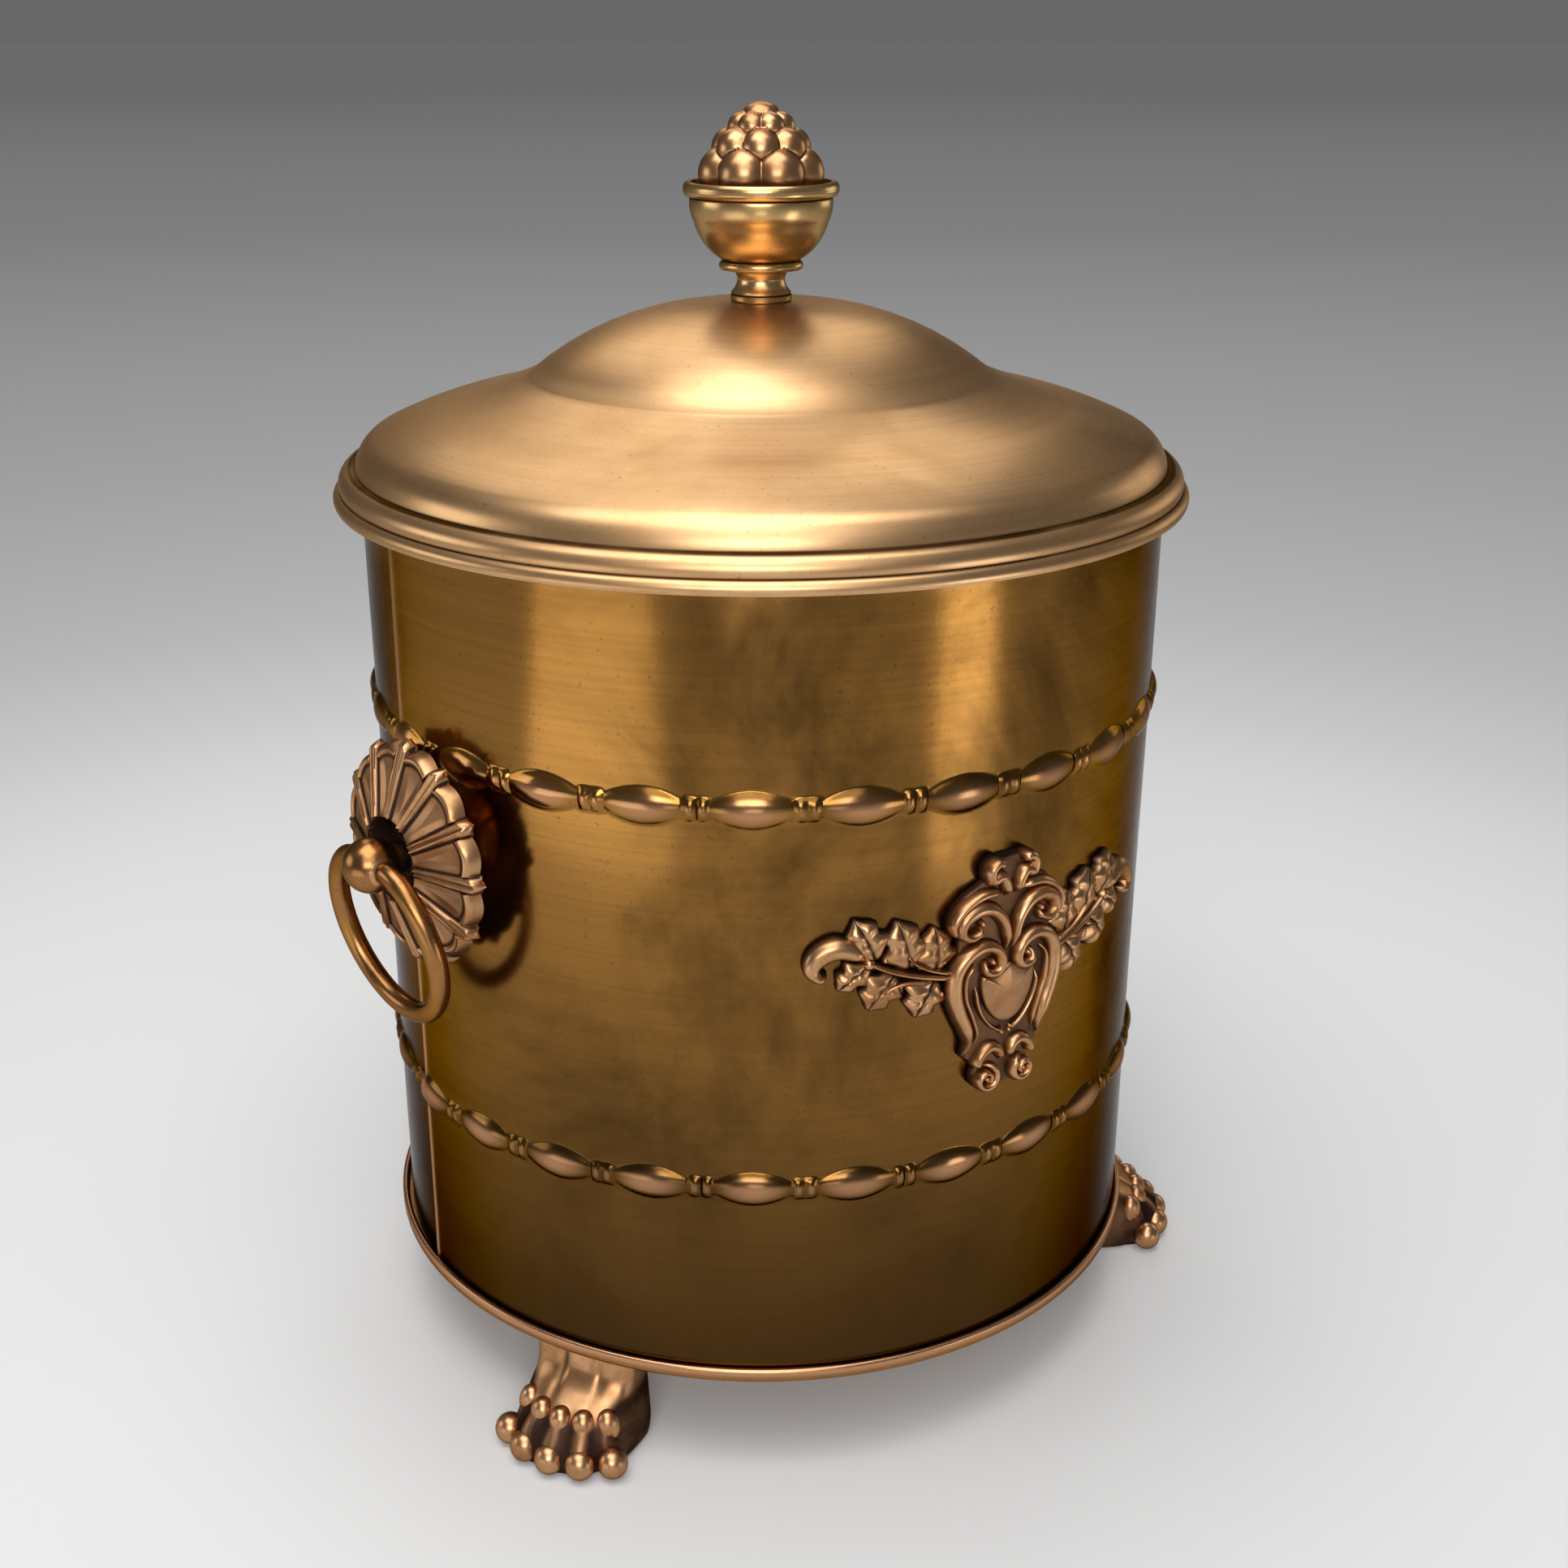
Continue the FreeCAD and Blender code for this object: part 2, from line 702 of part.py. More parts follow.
def handle_place(body, wall_radius, azimuth):
    """Stand a handle piece on the wall: its Z axis out from the drum, its Y axis up."""
    outward = Rotation(Vector(0, 0, 1), azimuth.value) * Rotation(Vector(1, 1, 1), 120)
    place(body, (wall_radius * cosine(azimuth), wall_radius * sine(azimuth), D["handle_height"]), outward)


def rosette(label):
    """Cast dish of petals: a hub on the wall, a cone of petals and twelve ribs over it."""
    body = new_body(label)
    edge_top = D["rosette_standoff"] + D["rosette_gauge"]
    back_crown = D["rosette_crown_height"] - D["rosette_gauge"]
    sketch = new_sketch(body, "dish_section", "XZ_Plane")
    outline(sketch, (
        (stud_hole_radius, 0),
        (D["hub_radius"], 0),
        (D["hub_radius"], D["rosette_standoff"]),
        (D["rosette_crown_radius"], back_crown),
        (D["rosette_radius"], D["rosette_standoff"]),
        (D["rosette_radius"], edge_top),
        (D["rosette_crown_radius"], D["rosette_crown_height"]),
        (D["recess_radius"], D["rosette_crown_height"]),
        (D["recess_floor_radius"], D["recess_floor"]),
        (stud_hole_radius, D["recess_floor"]),
    ))
    revolve(body, sketch)
    slope = (D["rosette_crown_height"] - edge_top) / (D["rosette_radius"] - D["rosette_crown_radius"])
    rib_end = D["rosette_radius"] + D["rib_overhang"]
    rib_foot = edge_top - slope * D["rib_overhang"]
    rib = new_sketch(body, "rib_section", "XZ_Plane")
    outline(rib, (
        (D["rosette_crown_radius"], back_crown),
        (rib_end, rib_foot - D["rosette_gauge"]),
        (rib_end, rib_foot + D["rib_rise"]),
        (D["rosette_crown_radius"], D["rosette_crown_height"] + D["rib_rise"]),
    ))
    plate = pad(body, rib, D["rib_width"], symmetric=True)
    polar(body, [plate], D["petal_count"], 360 * (D["petal_count"] - 1) / D["petal_count"])
    return body


def ball_post(label):
    """Turned post: stud through the wall, stepped collar in the dish, neck and cross-drilled ball."""
    body = new_body(label)
    floor = D["recess_floor"]
    step = floor + D["collar_height"]
    neck = step + D["collar_step_height"]
    ball_foot = D["ball_reach"] - root(
        D["ball_radius"] * D["ball_radius"] - D["neck_radius"] * D["neck_radius"]
    )
    stud_end = -(D["sheet_gauge"] + D["handle_washer_gauge"] + D["handle_nut_height"] + D["stud_tail"])
    sketch = new_sketch(body, "post_section", "XZ_Plane")
    outline(sketch, (
        (0, stud_end),
        (D["stud_radius"], stud_end),
        (D["stud_radius"], floor),
        (D["collar_radius"], floor),
        (D["collar_radius"], step),
        (D["collar_step_radius"], step),
        (D["collar_step_radius"], neck),
        (D["neck_radius"], neck),
        (D["neck_radius"], ball_foot, D["ball_radius"]),
        (0, D["ball_reach"] + D["ball_radius"]),
    ))
    revolve(body, sketch)
    bore = new_sketch(body, "ring_bore", "YZ_Plane")
    disc(bore, 0, D["ball_reach"], D["ring_wire_radius"] + D["thread_gap"])
    pocket(body, bore, D["ball_radius"] * 2 + D["overrun"], symmetric=True)
    return body


def ring(label):
    """Ring handle of round rod: a straight pin in the ball, two bends and the long bow below."""
    body = new_body(label)
    pin = D["ring_pin_length"] / 2
    bend = D["ring_bend_radius"]
    bow = D["ring_radius"]
    span = bow - bend
    drop = root(span * span - pin * pin)
    join_across = pin + bend * pin / span
    join_down = bend * drop / span - bend
    path = new_sketch(body, "ring_path", "XY_Plane")
    outline(path, (
        (0, 0),
        (pin, 0, -bend),
        (join_across, join_down, -bow, True),
        (-join_across, join_down, -bend),
        (-pin, 0),
    ))
    section = new_sketch(body, "rod_section", "YZ_Plane")
    disc(section, 0, 0, D["ring_wire_radius"])
    sweep = body.newObject("PartDesign::AdditivePipe", "rod")
    sweep.Profile = section
    sweep.Spine = (path, [])
    return body


def nut(label, flats, height, bore, top):
    """Hexagon nut below a height, on the local Z axis."""
    body = new_body(label)
    corner = flats / cosine(as_size(30)) / 2
    turns = [as_size(60 * index) for index in range(6)]
    sketch = new_sketch(body, "hexagon", "XY_Plane", lift=top - height)
    outline(sketch, [(corner * cosine(turn), corner * sine(turn)) for turn in turns])
    pad(body, sketch, height)
    hole = new_sketch(body, "thread", "XY_Plane", lift=top - height)
    disc(hole, 0, 0, bore)
    pocket(body, hole, height * 2, symmetric=True)
    return body


def washer(label, radius, bore, gauge, top):
    """Flat washer below a height, on the local Z axis."""
    body = new_body(label)
    sketch = new_sketch(body, "ring_plate", "XY_Plane", lift=top - gauge)
    disc(sketch, 0, 0, radius)
    disc(sketch, 0, 0, bore)
    pad(body, sketch, gauge)
    return body


def handle(side, wall_radius, azimuth):
    """One ring handle with everything that fixes it through the wall."""
    inner_radius = wall_radius - D["sheet_gauge"]
    washer_span = D["handle_washer_radius"] * D["handle_washer_radius"]
    washer_top = root(inner_radius * inner_radius - washer_span) - wall_radius - D["fit_gap"]
    nut_top = washer_top - D["handle_washer_gauge"]
    stud_bore = D["stud_radius"] + D["thread_gap"]
    pieces = (
        rosette(f"{side}_rosette"),
        ball_post(f"{side}_ball_post"),
        washer(f"{side}_handle_washer", D["handle_washer_radius"], stud_hole_radius,
               D["handle_washer_gauge"], washer_top),
        nut(f"{side}_handle_nut", D["handle_nut_flats"], D["handle_nut_height"], stud_bore, nut_top),
    )
    for piece in pieces:
        handle_place(piece, wall_radius, azimuth)
    ring_body = ring(f"{side}_ring")
    handle_place(ring_body, wall_radius + D["ball_reach"], azimuth)
    lean = Rotation(Vector(1, 0, 0), D["ring_rest_angle"].value)
    ring_body.Placement.Rotation = ring_body.Placement.Rotation * lean


def crest_spot(shares, sign=1):
    """A point of the crest from its shares of the spray's reach, mirrored by the sign."""
    across, up = shares
    return D["spray_reach"] * (across * sign), D["crest_height"] + D["spray_reach"] * up


def leaves(body, name, shares):
    """Leaves of both sprays in one sketch: each is two arcs from base to tip."""
    sketch = new_sketch(body, name, "XZ_Plane")
    for base, tip, width in shares:
        length = math.hypot(tip[0] - base[0], tip[1] - base[1])
        curve = arc_radius(D["spray_reach"] * length / 2, D["spray_reach"] * width / 2)
        for sign in (-1, 1):
            outline(sketch, ((*crest_spot(base, sign), curve), (*crest_spot(tip, sign), curve)))
    pad(body, sketch, D["body_radius"] + D["overrun"] * 2)


def crest_layer(name, relief, body):
    """The part of a crest body that lies inside a cylinder one relief outside the wall."""
    face = doc.addObject("Part::Cylinder", f"{name}_face")
    bind(face, "Radius", D["body_radius"] + relief)
    bind(face, "Height", roll_height)
    layer = doc.addObject("Part::Common", f"{name}_layer")
    layer.Base = body
    layer.Tool = face
    return layer


def crest():
    """Cast cartouche: plate, stems and leaves, with higher scrolls and shield, curved to the wall."""
    deep = D["body_radius"] + D["overrun"] * 2
    low = doc.addObject("PartDesign::Body", "crest_ground")
    plate = new_sketch(low, "plate", "XZ_Plane")
    mirrored = [(spot, -1) for spot in reversed(PLATE_SHARES) if spot[0]]
    corners = [(spot, 1) for spot in PLATE_SHARES] + mirrored
    outline(plate, [crest_spot(spot, sign) for spot, sign in corners])
    pad(low, plate, deep)
    stems = new_sketch(low, "stems", "XZ_Plane")
    for sign in (-1, 1):
        outline(stems, [crest_spot(spot, sign) for spot in STEM_SHARES])
    pad(low, stems, deep)
    for name, shares in (("upper_leaves", UPPER_LEAF_SHARES), ("lower_leaves", LOWER_LEAF_SHARES)):
        leaves(low, name, shares)
    leaves(low, "end_leaves", END_LEAF_SHARES)
    high = doc.addObject("PartDesign::Body", "crest_bosses")
    bosses = new_sketch(high, "bosses", "XZ_Plane")
    for spot, size in BOSS_SHARES:
        for sign in (-1, 1):
            disc(bosses, *crest_spot(spot, sign), D["spray_reach"] * size)
    shield = [(spot, 1) for spot in SHIELD_SHARES]
    shield += [(spot, -1) for spot in reversed(SHIELD_SHARES) if spot[0]]
    outline(bosses, [crest_spot(spot, sign) for spot, sign in shield])
    pad(high, bosses, deep)
    front = doc.addObject("Part::Fuse", "crest_front")
    front.Base = crest_layer("ground", D["crest_ground_relief"], low)
    front.Tool = crest_layer("boss", D["crest_relief"], high)
    back = doc.addObject("Part::Cylinder", "crest_back")
    bind(back, "Radius", D["body_radius"] + D["fit_gap"])
    bind(back, "Height", roll_height)
    plaque = doc.addObject("Part::Cut", "crest_raised")
    plaque.Base = front
    plaque.Tool = back
    sockets = [rivet_solid(f"rivet_socket_{index}", turn, height, rivet_hole_radius)
               for index, (turn, height) in enumerate(crest_rivets)]
    for index, socket in enumerate(sockets):
        bored = doc.addObject("Part::Cut", f"crest_bored_{index}")
        bored.Base = plaque
        bored.Tool = socket
        plaque = bored
    plaque.Label = "crest_plaque"
    subparts.append(plaque)


def rivet_solid(name, turn, height, radius):
    """A pin straight out from the axis, from inside the wall to part way into the crest."""
    start = D["body_radius"] - D["sheet_gauge"] - D["rivet_head_height"]
    pin = doc.addObject("Part::Cylinder", name)
    bind(pin, "Radius", radius)
    bind(pin, "Height", D["body_radius"] + D["rivet_depth"] - start)
    angle = turn + 180
    rotation = Rotation(Vector(0, 0, 1), angle.value) * Rotation(Vector(0, 1, 0), 90)
    place(pin, (start * cosine(angle), start * sine(angle), height), rotation)
    return pin


def crest_rivet_group():
    """The crest's three rivets, each a shank with a head inside the drum."""
    solids = []
    for index, (turn, height) in enumerate(crest_rivets):
        shank = rivet_solid(f"rivet_shank_{index}", turn, height, D["rivet_radius"])
        reach = root(
            (D["body_radius"] - D["sheet_gauge"]) * (D["body_radius"] - D["sheet_gauge"])
            - D["rivet_head_radius"] * D["rivet_head_radius"]
        ) - D["rivet_head_height"] - D["fit_gap"]
        head = doc.addObject("Part::Cylinder", f"rivet_head_{index}")
        bind(head, "Radius", D["rivet_head_radius"])
        bind(head, "Height", D["rivet_head_height"])
        angle = turn + 180
        rotation = Rotation(Vector(0, 0, 1), angle.value) * Rotation(Vector(0, 1, 0), 90)
        place(head, (reach * cosine(angle), reach * sine(angle), height), rotation)
        rivet = doc.addObject("Part::Fuse", f"rivet_{index}")
        rivet.Base = shank
        rivet.Tool = head
        solids.append(rivet)
    group = doc.addObject("Part::Compound", "crest_rivets")
    group.Label = "crest_rivets"
    group.Links = solids
    subparts.append(group)


def lid_shell():
    """Spun lid: lip, bead, quirk, shoulder, hollow slope, crease and dome, of one gauge."""
    body = new_body("lid_shell")
    gauge = D["lid_gauge"]
    lip_inner = D["lip_edge_radius"] - gauge
    sketch = new_sketch(body, "lid_section", "XZ_Plane")
    outline(sketch, (
        (lip_inner, 0),
        (D["lip_edge_radius"], 0, D["lip_curve"]),
        (D["groove_radius"], D["groove_height"], D["bead_curve"]),
        (D["quirk_radius"], D["quirk_height"], D["shoulder_curve"]),
        (D["shoulder_radius"], D["shoulder_height"], D["slope_curve"]),
        (D["slope_radius"], D["slope_height"], -D["hollow_curve"]),
        (D["crease_radius"], D["crease_height"], D["dome_curve"]),
        (D["crown_radius"], D["crown_height"]),
        (rod_hole_radius, D["crown_height"]),
        (rod_hole_radius, D["crown_height"] - gauge),
        (D["crown_radius"], D["crown_height"] - gauge, -D["dome_curve"]),
        (D["crease_radius"], D["crease_height"] - gauge, D["hollow_curve"]),
        (D["slope_radius"], D["slope_height"] - gauge, -D["slope_curve"]),
        (D["shoulder_radius"] - gauge, D["shoulder_height"] - gauge, -(D["shoulder_curve"] - gauge / 2)),
        (D["quirk_radius"] - gauge, D["quirk_height"] - gauge, -D["bead_curve"]),
        (D["groove_radius"] - gauge, D["groove_height"] - gauge / 2),
    ))
    revolve(body, sketch)
    place(body, (0, 0, lid_seat))


def lid_collar():
    """Locating ring under the lid, just inside the wall."""
    body = new_body("lid_collar")
    outside = D["body_radius"] - D["sheet_gauge"] * 2 - D["lid_collar_play"]
    inside = outside - D["lid_collar_gauge"]
    sketch = new_sketch(body, "collar_section", "XZ_Plane")
    outline(sketch, (
        (inside, -D["lid_collar_depth"]),
        (outside, -D["lid_collar_depth"]),
        (outside, D["lid_collar_rise"]),
        (inside, D["lid_collar_rise"]),
    ))
    revolve(body, sketch)
    place(body, (0, 0, lid_seat))


def finial():
    """Cup and bud on the lid, drawn down by a rod with a washer and nut under the dome."""
    crown = lid_seat + D["crown_height"]
    cup = new_body("finial_cup")
    foot = D["cup_foot_height"]
    ring_low = D["cup_ring_height"] - D["cup_ring_gauge"]
    rim_low = D["cup_rim_height"]
    rim_top = rim_low + D["cup_rim_gauge"]
    well = rim_top - D["cup_well_depth"]
    neck_curve = D["cup_neck_height"] - foot
    sketch = new_sketch(cup, "cup_section", "XZ_Plane")
    outline(sketch, (
        (rod_hole_radius, 0),
        (D["cup_foot_radius"], 0),
        (D["cup_foot_radius"], foot, -neck_curve),
        (D["cup_neck_radius"], D["cup_neck_height"], -neck_curve),
        (D["bowl_foot_radius"], ring_low),
        (D["cup_ring_radius"], ring_low),
        (D["cup_ring_radius"], D["cup_ring_height"]),
        (D["bowl_foot_radius"], D["cup_ring_height"], D["bowl_curve"]),
        (D["cup_rim_radius"] - D["cup_rim_gauge"] / 2, rim_low),
        (D["cup_rim_radius"], rim_low),
        (D["cup_rim_radius"], rim_top),
        (D["cup_well_radius"], rim_top),
        (D["cup_well_radius"], well),
        (rod_hole_radius, well),
    ))
    revolve(cup, sketch)
    place(cup, (0, 0, crown))
    bud = new_body("finial_cone")
    section = new_sketch(bud, "bud_section", "XZ_Plane")
    outline(section, (
        (0, 0),
        (D["bud_radius"], 0, D["bud_curve"]),
        (D["bud_tip_radius"], D["bud_height"]),
        (0, D["bud_height"]),
    ))
    revolve(bud, section)
    for index, (level, size, turned) in enumerate(BUD_ROW_SHARES):
        dome = bud.newObject("PartDesign::AdditiveSphere", f"dome_{index}")
        bind(dome, "Radius", D["bud_dome_radius"] * size)
        angle = as_size(360 / DOMES_PER_ROW * turned)
        reach = (D["bud_radius"] - D["bud_dome_radius"] * DOME_SINK_SHARE) * size
        place(dome, (reach * cosine(angle), reach * sine(angle), D["bud_height"] * level))
        polar(bud, [dome], DOMES_PER_ROW, as_size(360) * (DOMES_PER_ROW - 1) / DOMES_PER_ROW)
    socket = bud.newObject("PartDesign::SubtractiveCylinder", "rod_socket")
    bind(socket, "Radius", D["rod_radius"] + D["thread_gap"])
    bind(socket, "Height", D["bud_socket_depth"])
    place(socket)
    place(bud, (0, 0, crown + well))
    under = -D["lid_gauge"]
    washer_body = washer("finial_washer", D["finial_washer_radius"], rod_hole_radius,
                         D["finial_washer_gauge"], under)
    place(washer_body, (0, 0, crown))
    nut_top = under - D["finial_washer_gauge"]
    nut_body = nut("finial_nut", D["finial_nut_flats"], D["finial_nut_height"],
                   D["rod_radius"] + D["thread_gap"], nut_top)
    place(nut_body, (0, 0, crown))
    rod = doc.addObject("Part::Cylinder", "finial_rod")
    rod.Label = "finial_rod"
    low = nut_top - D["finial_nut_height"] - D["rod_tail"]
    bind(rod, "Radius", D["rod_radius"])
    bind(rod, "Height", well + D["bud_socket_depth"] - D["fit_gap"] - low)
    place(rod, (0, 0, crown + low))
    subparts.append(rod)


front_wall()
rear_wall()
rim_wire()
base_pan()
for foot_label, foot_turn in (("front_left_foot", 210), ("front_right_foot", 330), ("rear_foot", 90)):
    paw_foot(foot_label, foot_turn)
foot_fasteners()
handle("left", D["body_radius"], 180 + D["handle_turn"])
handle("right", rear_radius, D["handle_turn"])
crest()
crest_rivet_group()
lid_shell()
lid_collar()
finial()
doc.recompute()

# Nothing is written unless every object computed and every sub-part is a sound solid
for item in doc.Objects:
    if "Invalid" in item.State or "Error" in item.State:
        raise RuntimeError(f"{item.Label} did not compute: {item.State}")
for item in subparts:
    if item.Shape.isNull() or not item.Shape.isValid() or not item.Shape.Solids:
        raise RuntimeError(f"{item.Label} has no sound solid")
os.makedirs("parts", exist_ok=True)
for item in subparts:
    item.Shape.exportStep(f"parts/{item.Label}.step")
    print(item.Label, len(item.Shape.Solids), round(item.Shape.Volume, 1))
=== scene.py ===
"""Aged brass coal bin: the looks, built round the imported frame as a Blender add-on run as a script."""
import math

import bmesh
import bpy
import numpy as np
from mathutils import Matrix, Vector


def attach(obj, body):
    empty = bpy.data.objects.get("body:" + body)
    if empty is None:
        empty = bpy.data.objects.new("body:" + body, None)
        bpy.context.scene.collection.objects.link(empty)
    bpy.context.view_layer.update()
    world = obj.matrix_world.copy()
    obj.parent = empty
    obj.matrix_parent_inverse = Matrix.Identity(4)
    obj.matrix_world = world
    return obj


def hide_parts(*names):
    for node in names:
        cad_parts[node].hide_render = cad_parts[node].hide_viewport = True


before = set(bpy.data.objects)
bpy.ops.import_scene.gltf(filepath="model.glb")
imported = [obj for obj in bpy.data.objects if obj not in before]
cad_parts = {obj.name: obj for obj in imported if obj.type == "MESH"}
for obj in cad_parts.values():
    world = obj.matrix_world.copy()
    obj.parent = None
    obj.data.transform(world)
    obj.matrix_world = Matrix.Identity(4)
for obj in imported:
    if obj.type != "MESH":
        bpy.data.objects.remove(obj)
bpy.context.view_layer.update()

bl_info = {
    "name": "Brass coal bin",
    "version": (1, 0, 0),
    "blender": (4, 5, 0),
    "location": "View3D > Sidebar > Coal bin",
    "description": "Builds the drum, lid, finial, paws, ring handles and crest of a brass coal bin",
    "category": "Object",
}

# Sizes that more than one function uses, in millimetres
MM = 0.001
FIT_GAP = 0.1
PAN_GAUGE = 1.2
REAR_STEP = 1.3
PAW_HEIGHT = 36.0
PAW_CIRCLE = 140.0
ROD_HOLE = 3.1
CROWN_HEIGHT = 65.5
BALL_RADIUS = 9.5
BALL_OUT = 27.0


def srgb(code):
    """Linear colour of an sRGB hex value."""
    parts = np.array([int(code[i:i + 2], 16) for i in (1, 3, 5)]) / 255
    linear = np.where(parts <= 0.04045, parts / 12.92, ((parts + 0.055) / 1.055) ** 2.4)
    return (*[float(part) for part in linear], 1.0)


def size_prop(label, words, default):
    """A length in millimetres that a user may change."""
    return bpy.props.FloatProperty(name=label, description=words, default=default, min=0.0, subtype="NONE")


def colour_prop(label, words, code):
    """A colour that a user may change, from an sRGB hex value."""
    return bpy.props.FloatVectorProperty(
        name=label, description=words, default=srgb(code), size=4, min=0, max=1, subtype="COLOR")


class CoalBinSizes(bpy.types.PropertyGroup):
    """Sizes of the dressed surfaces, in millimetres from the drum's axis and the floor."""
    drum_radius: size_prop("Drum radius", "Outside of the front sheet", 145.0)
    gauge: size_prop("Sheet gauge", "Thickness of the drum's sheet", 1.2)
    base_height: size_prop("Base height", "Underside of the base pan above the floor", 36.0)
    roll_height: size_prop("Rim height", "Centre of the rolled rim above the floor", 328.5)
    upper_band: size_prop("Upper band", "Height of the upper bead and reel band", 250.5)
    lower_band: size_prop("Lower band", "Height of the lower bead and reel band", 113.3)
    bead_rise: size_prop("Bead rise", "How far a bead stands out of the sheet", 2.6)
    lid_height: size_prop("Lid height", "Lower edge of the lid's lip above the floor", 321.6)
    handle_height: size_prop("Handle height", "Centre of the ring handles above the floor", 218.4)
    crest_height: size_prop("Crest height", "Middle of the crest above the floor", 179.0)


class CoalBinColours(bpy.types.PropertyGroup):
    """Colours of the brass finishes."""
    drum: colour_prop("Drum brass", "Darkened sheet brass of the drum", "#A8783B")
    # The drum's tarnish colour is also the painted shade towards the drum's foot
    drum_dark: colour_prop("Drum tarnish", "Tarnish on the drum", "#463117")
    lid: colour_prop("Lid brass", "Spun brass of the lid", "#DAAF80")
    lid_dark: colour_prop("Lid tarnish", "Tarnish on the lid", "#C09668")
    cast: colour_prop("Cast brass", "Cast brass on its high places", "#C4966C")
    cast_dark: colour_prop("Cast hollows", "Old dark wax and tarnish in the hollows", "#3E2B24")
    # The worn copper also paints highlights along the drum's lap edge, the pan's rim and the ball holes
    copper: colour_prop("Worn copper", "Places rubbed through to a pinkish metal", "#C99670")
    edge: colour_prop("Grazed tarnish", "Tarnish seen at a grazing angle", "#A3A2A2")
    rod: colour_prop("Rod brass", "Rubbed brass of the rings", "#9A6D45")
    finial: colour_prop("Finial brass", "Turned brass of the finial", "#E0BA7C")


# Mesh helpers


def unit(value):
    """A value held between 0 and 1."""
    return np.clip(value, 0, 1)


def bell(distance, width):
    """A bell curve: 1 at no distance, and 1/e at the width."""
    return np.exp(-(distance / width) ** 2)


def grid_faces(rows, columns, wrap_rows, wrap_columns, start):
    """Quads of a grid of points, joined across its ends where it wraps."""
    i, j = np.meshgrid(np.arange(rows if wrap_rows else rows - 1),
                       np.arange(columns if wrap_columns else columns - 1), indexing="ij")
    k, m = (i + 1) % rows, (j + 1) % columns
    quads = np.stack([i * columns + j, k * columns + j, k * columns + m, i * columns + m], -1)
    return start + quads.reshape(-1, 4)


def piece(name, grids, material, body, nodes, sharp=40.0):
    """One mesh of several grids of points in millimetres.

    Each grid is (points, hollow, wraps down, wraps across). Points that meet are merged, so seams and poles
    close, and the faces are turned outwards.
    """
    merge_within = 0.002
    points, hollows, quads, start = [], [], [], 0
    for grid, hollow, wrap_rows, wrap_columns in grids:
        rows, columns = grid.shape[:2]
        points.append(grid.reshape(-1, 3))
        hollows.append(np.broadcast_to(hollow, (rows, columns)).reshape(-1))
        quads.append(grid_faces(rows, columns, wrap_rows, wrap_columns, start))
        start += rows * columns
    points, hollows, quads = np.concatenate(points) * MM, np.concatenate(hollows), np.concatenate(quads)
    mesh = bpy.data.meshes.new(name)
    mesh.vertices.add(len(points))
    mesh.vertices.foreach_set("co", points.astype(np.float32).ravel())
    mesh.loops.add(quads.size)
    mesh.loops.foreach_set("vertex_index", quads.astype(np.int32).ravel())
    mesh.polygons.add(len(quads))
    mesh.polygons.foreach_set("loop_start", np.arange(0, quads.size, 4, dtype=np.int32))
    mesh.update(calc_edges=True)
    mesh.attributes.new("hollow", "FLOAT", "POINT").data.foreach_set("value", hollows.astype(np.float32))
    work = bmesh.new()
    work.from_mesh(mesh)
    bmesh.ops.remove_doubles(work, verts=work.verts, dist=merge_within * MM)
    bmesh.ops.recalc_face_normals(work, faces=work.faces)
    work.to_mesh(mesh)
    work.free()
    mesh.polygons.foreach_set("use_smooth", np.ones(len(mesh.polygons), bool))
    mesh.set_sharp_from_angle(angle=math.radians(sharp))
    mesh.materials.append(material)
    made = bpy.data.objects.new(name, mesh)
    bpy.context.scene.collection.objects.link(made)
    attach(made, body)
    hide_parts(*nodes)
    return made


def bend(first, last, radius, count=10):
    """Points along the shorter arc between two corners, without the last.

    It runs anticlockwise if the radius is positive. The centre lies on the chord's upright bisector.
    """
    first, last = np.array(first, float), np.array(last, float)
    chord = last - first
    length = np.hypot(*chord)
    reach = math.sqrt(max(radius * radius - length * length / 4, 0.0))
    centre = (first + last) / 2 + np.array([-chord[1], chord[0]]) / length * reach * np.sign(radius)
    start = math.atan2(*(first - centre)[::-1])
    sweep = 2 * math.asin(min(length / 2 / abs(radius), 1.0)) * np.sign(radius)
    turn = start + sweep * np.arange(count) / count
    return centre + abs(radius) * np.stack([np.cos(turn), np.sin(turn)], -1)


def profile(corners):
    """Points of a closed section from corners (radius, height), each with or without a bend to the next."""
    runs = []
    for index, corner in enumerate(corners):
        after = corners[(index + 1) % len(corners)]
        bent = len(corner) > 2
        runs.append(bend(corner[:2], after[:2], corner[2]) if bent else np.array([corner[:2]], float))
    return np.concatenate(runs)


def polar(reach, turn, height):
    """Points at a distance r from the Z axis, an angle a round it and a height z: (r cos a, r sin a, z)."""
    return np.stack(np.broadcast_arrays(reach * np.cos(turn), reach * np.sin(turn), height), -1)


def lathe(section, count=240, lift=0.0):
    """A section of points (r, z) turned about the Z axis."""
    turn = np.linspace(0, 2 * np.pi, count, endpoint=False)
    return polar(section[:, :1], turn, section[:, 1:] + lift)


def smooth_path(corners, count):
    """Evenly spaced points on a curve through corners: a Catmull-Rom blend of four neighbours."""
    finer, short_of_end = 4, 1e-9
    knots = np.array(corners, float)
    knots = np.vstack([2 * knots[0] - knots[1], knots, 2 * knots[-1] - knots[-2]])
    u = np.linspace(0, len(corners) - 1 - short_of_end, count * finer)
    i = u.astype(int)
    t = (u - i)[:, None]
    a, b, c, d = (knots[i + shift] for shift in range(4))
    line = 0.5 * (2 * b + (c - a) * t + (2 * a - 5 * b + 4 * c - d) * t ** 2
                  + (3 * b - a - 3 * c + d) * t ** 3)
    run = np.concatenate([[0], np.cumsum(np.linalg.norm(np.diff(line, axis=0), axis=1))])
    even = np.linspace(0, run[-1], count)
    return np.stack([np.interp(even, run, line[:, axis]) for axis in range(line.shape[1])], -1)


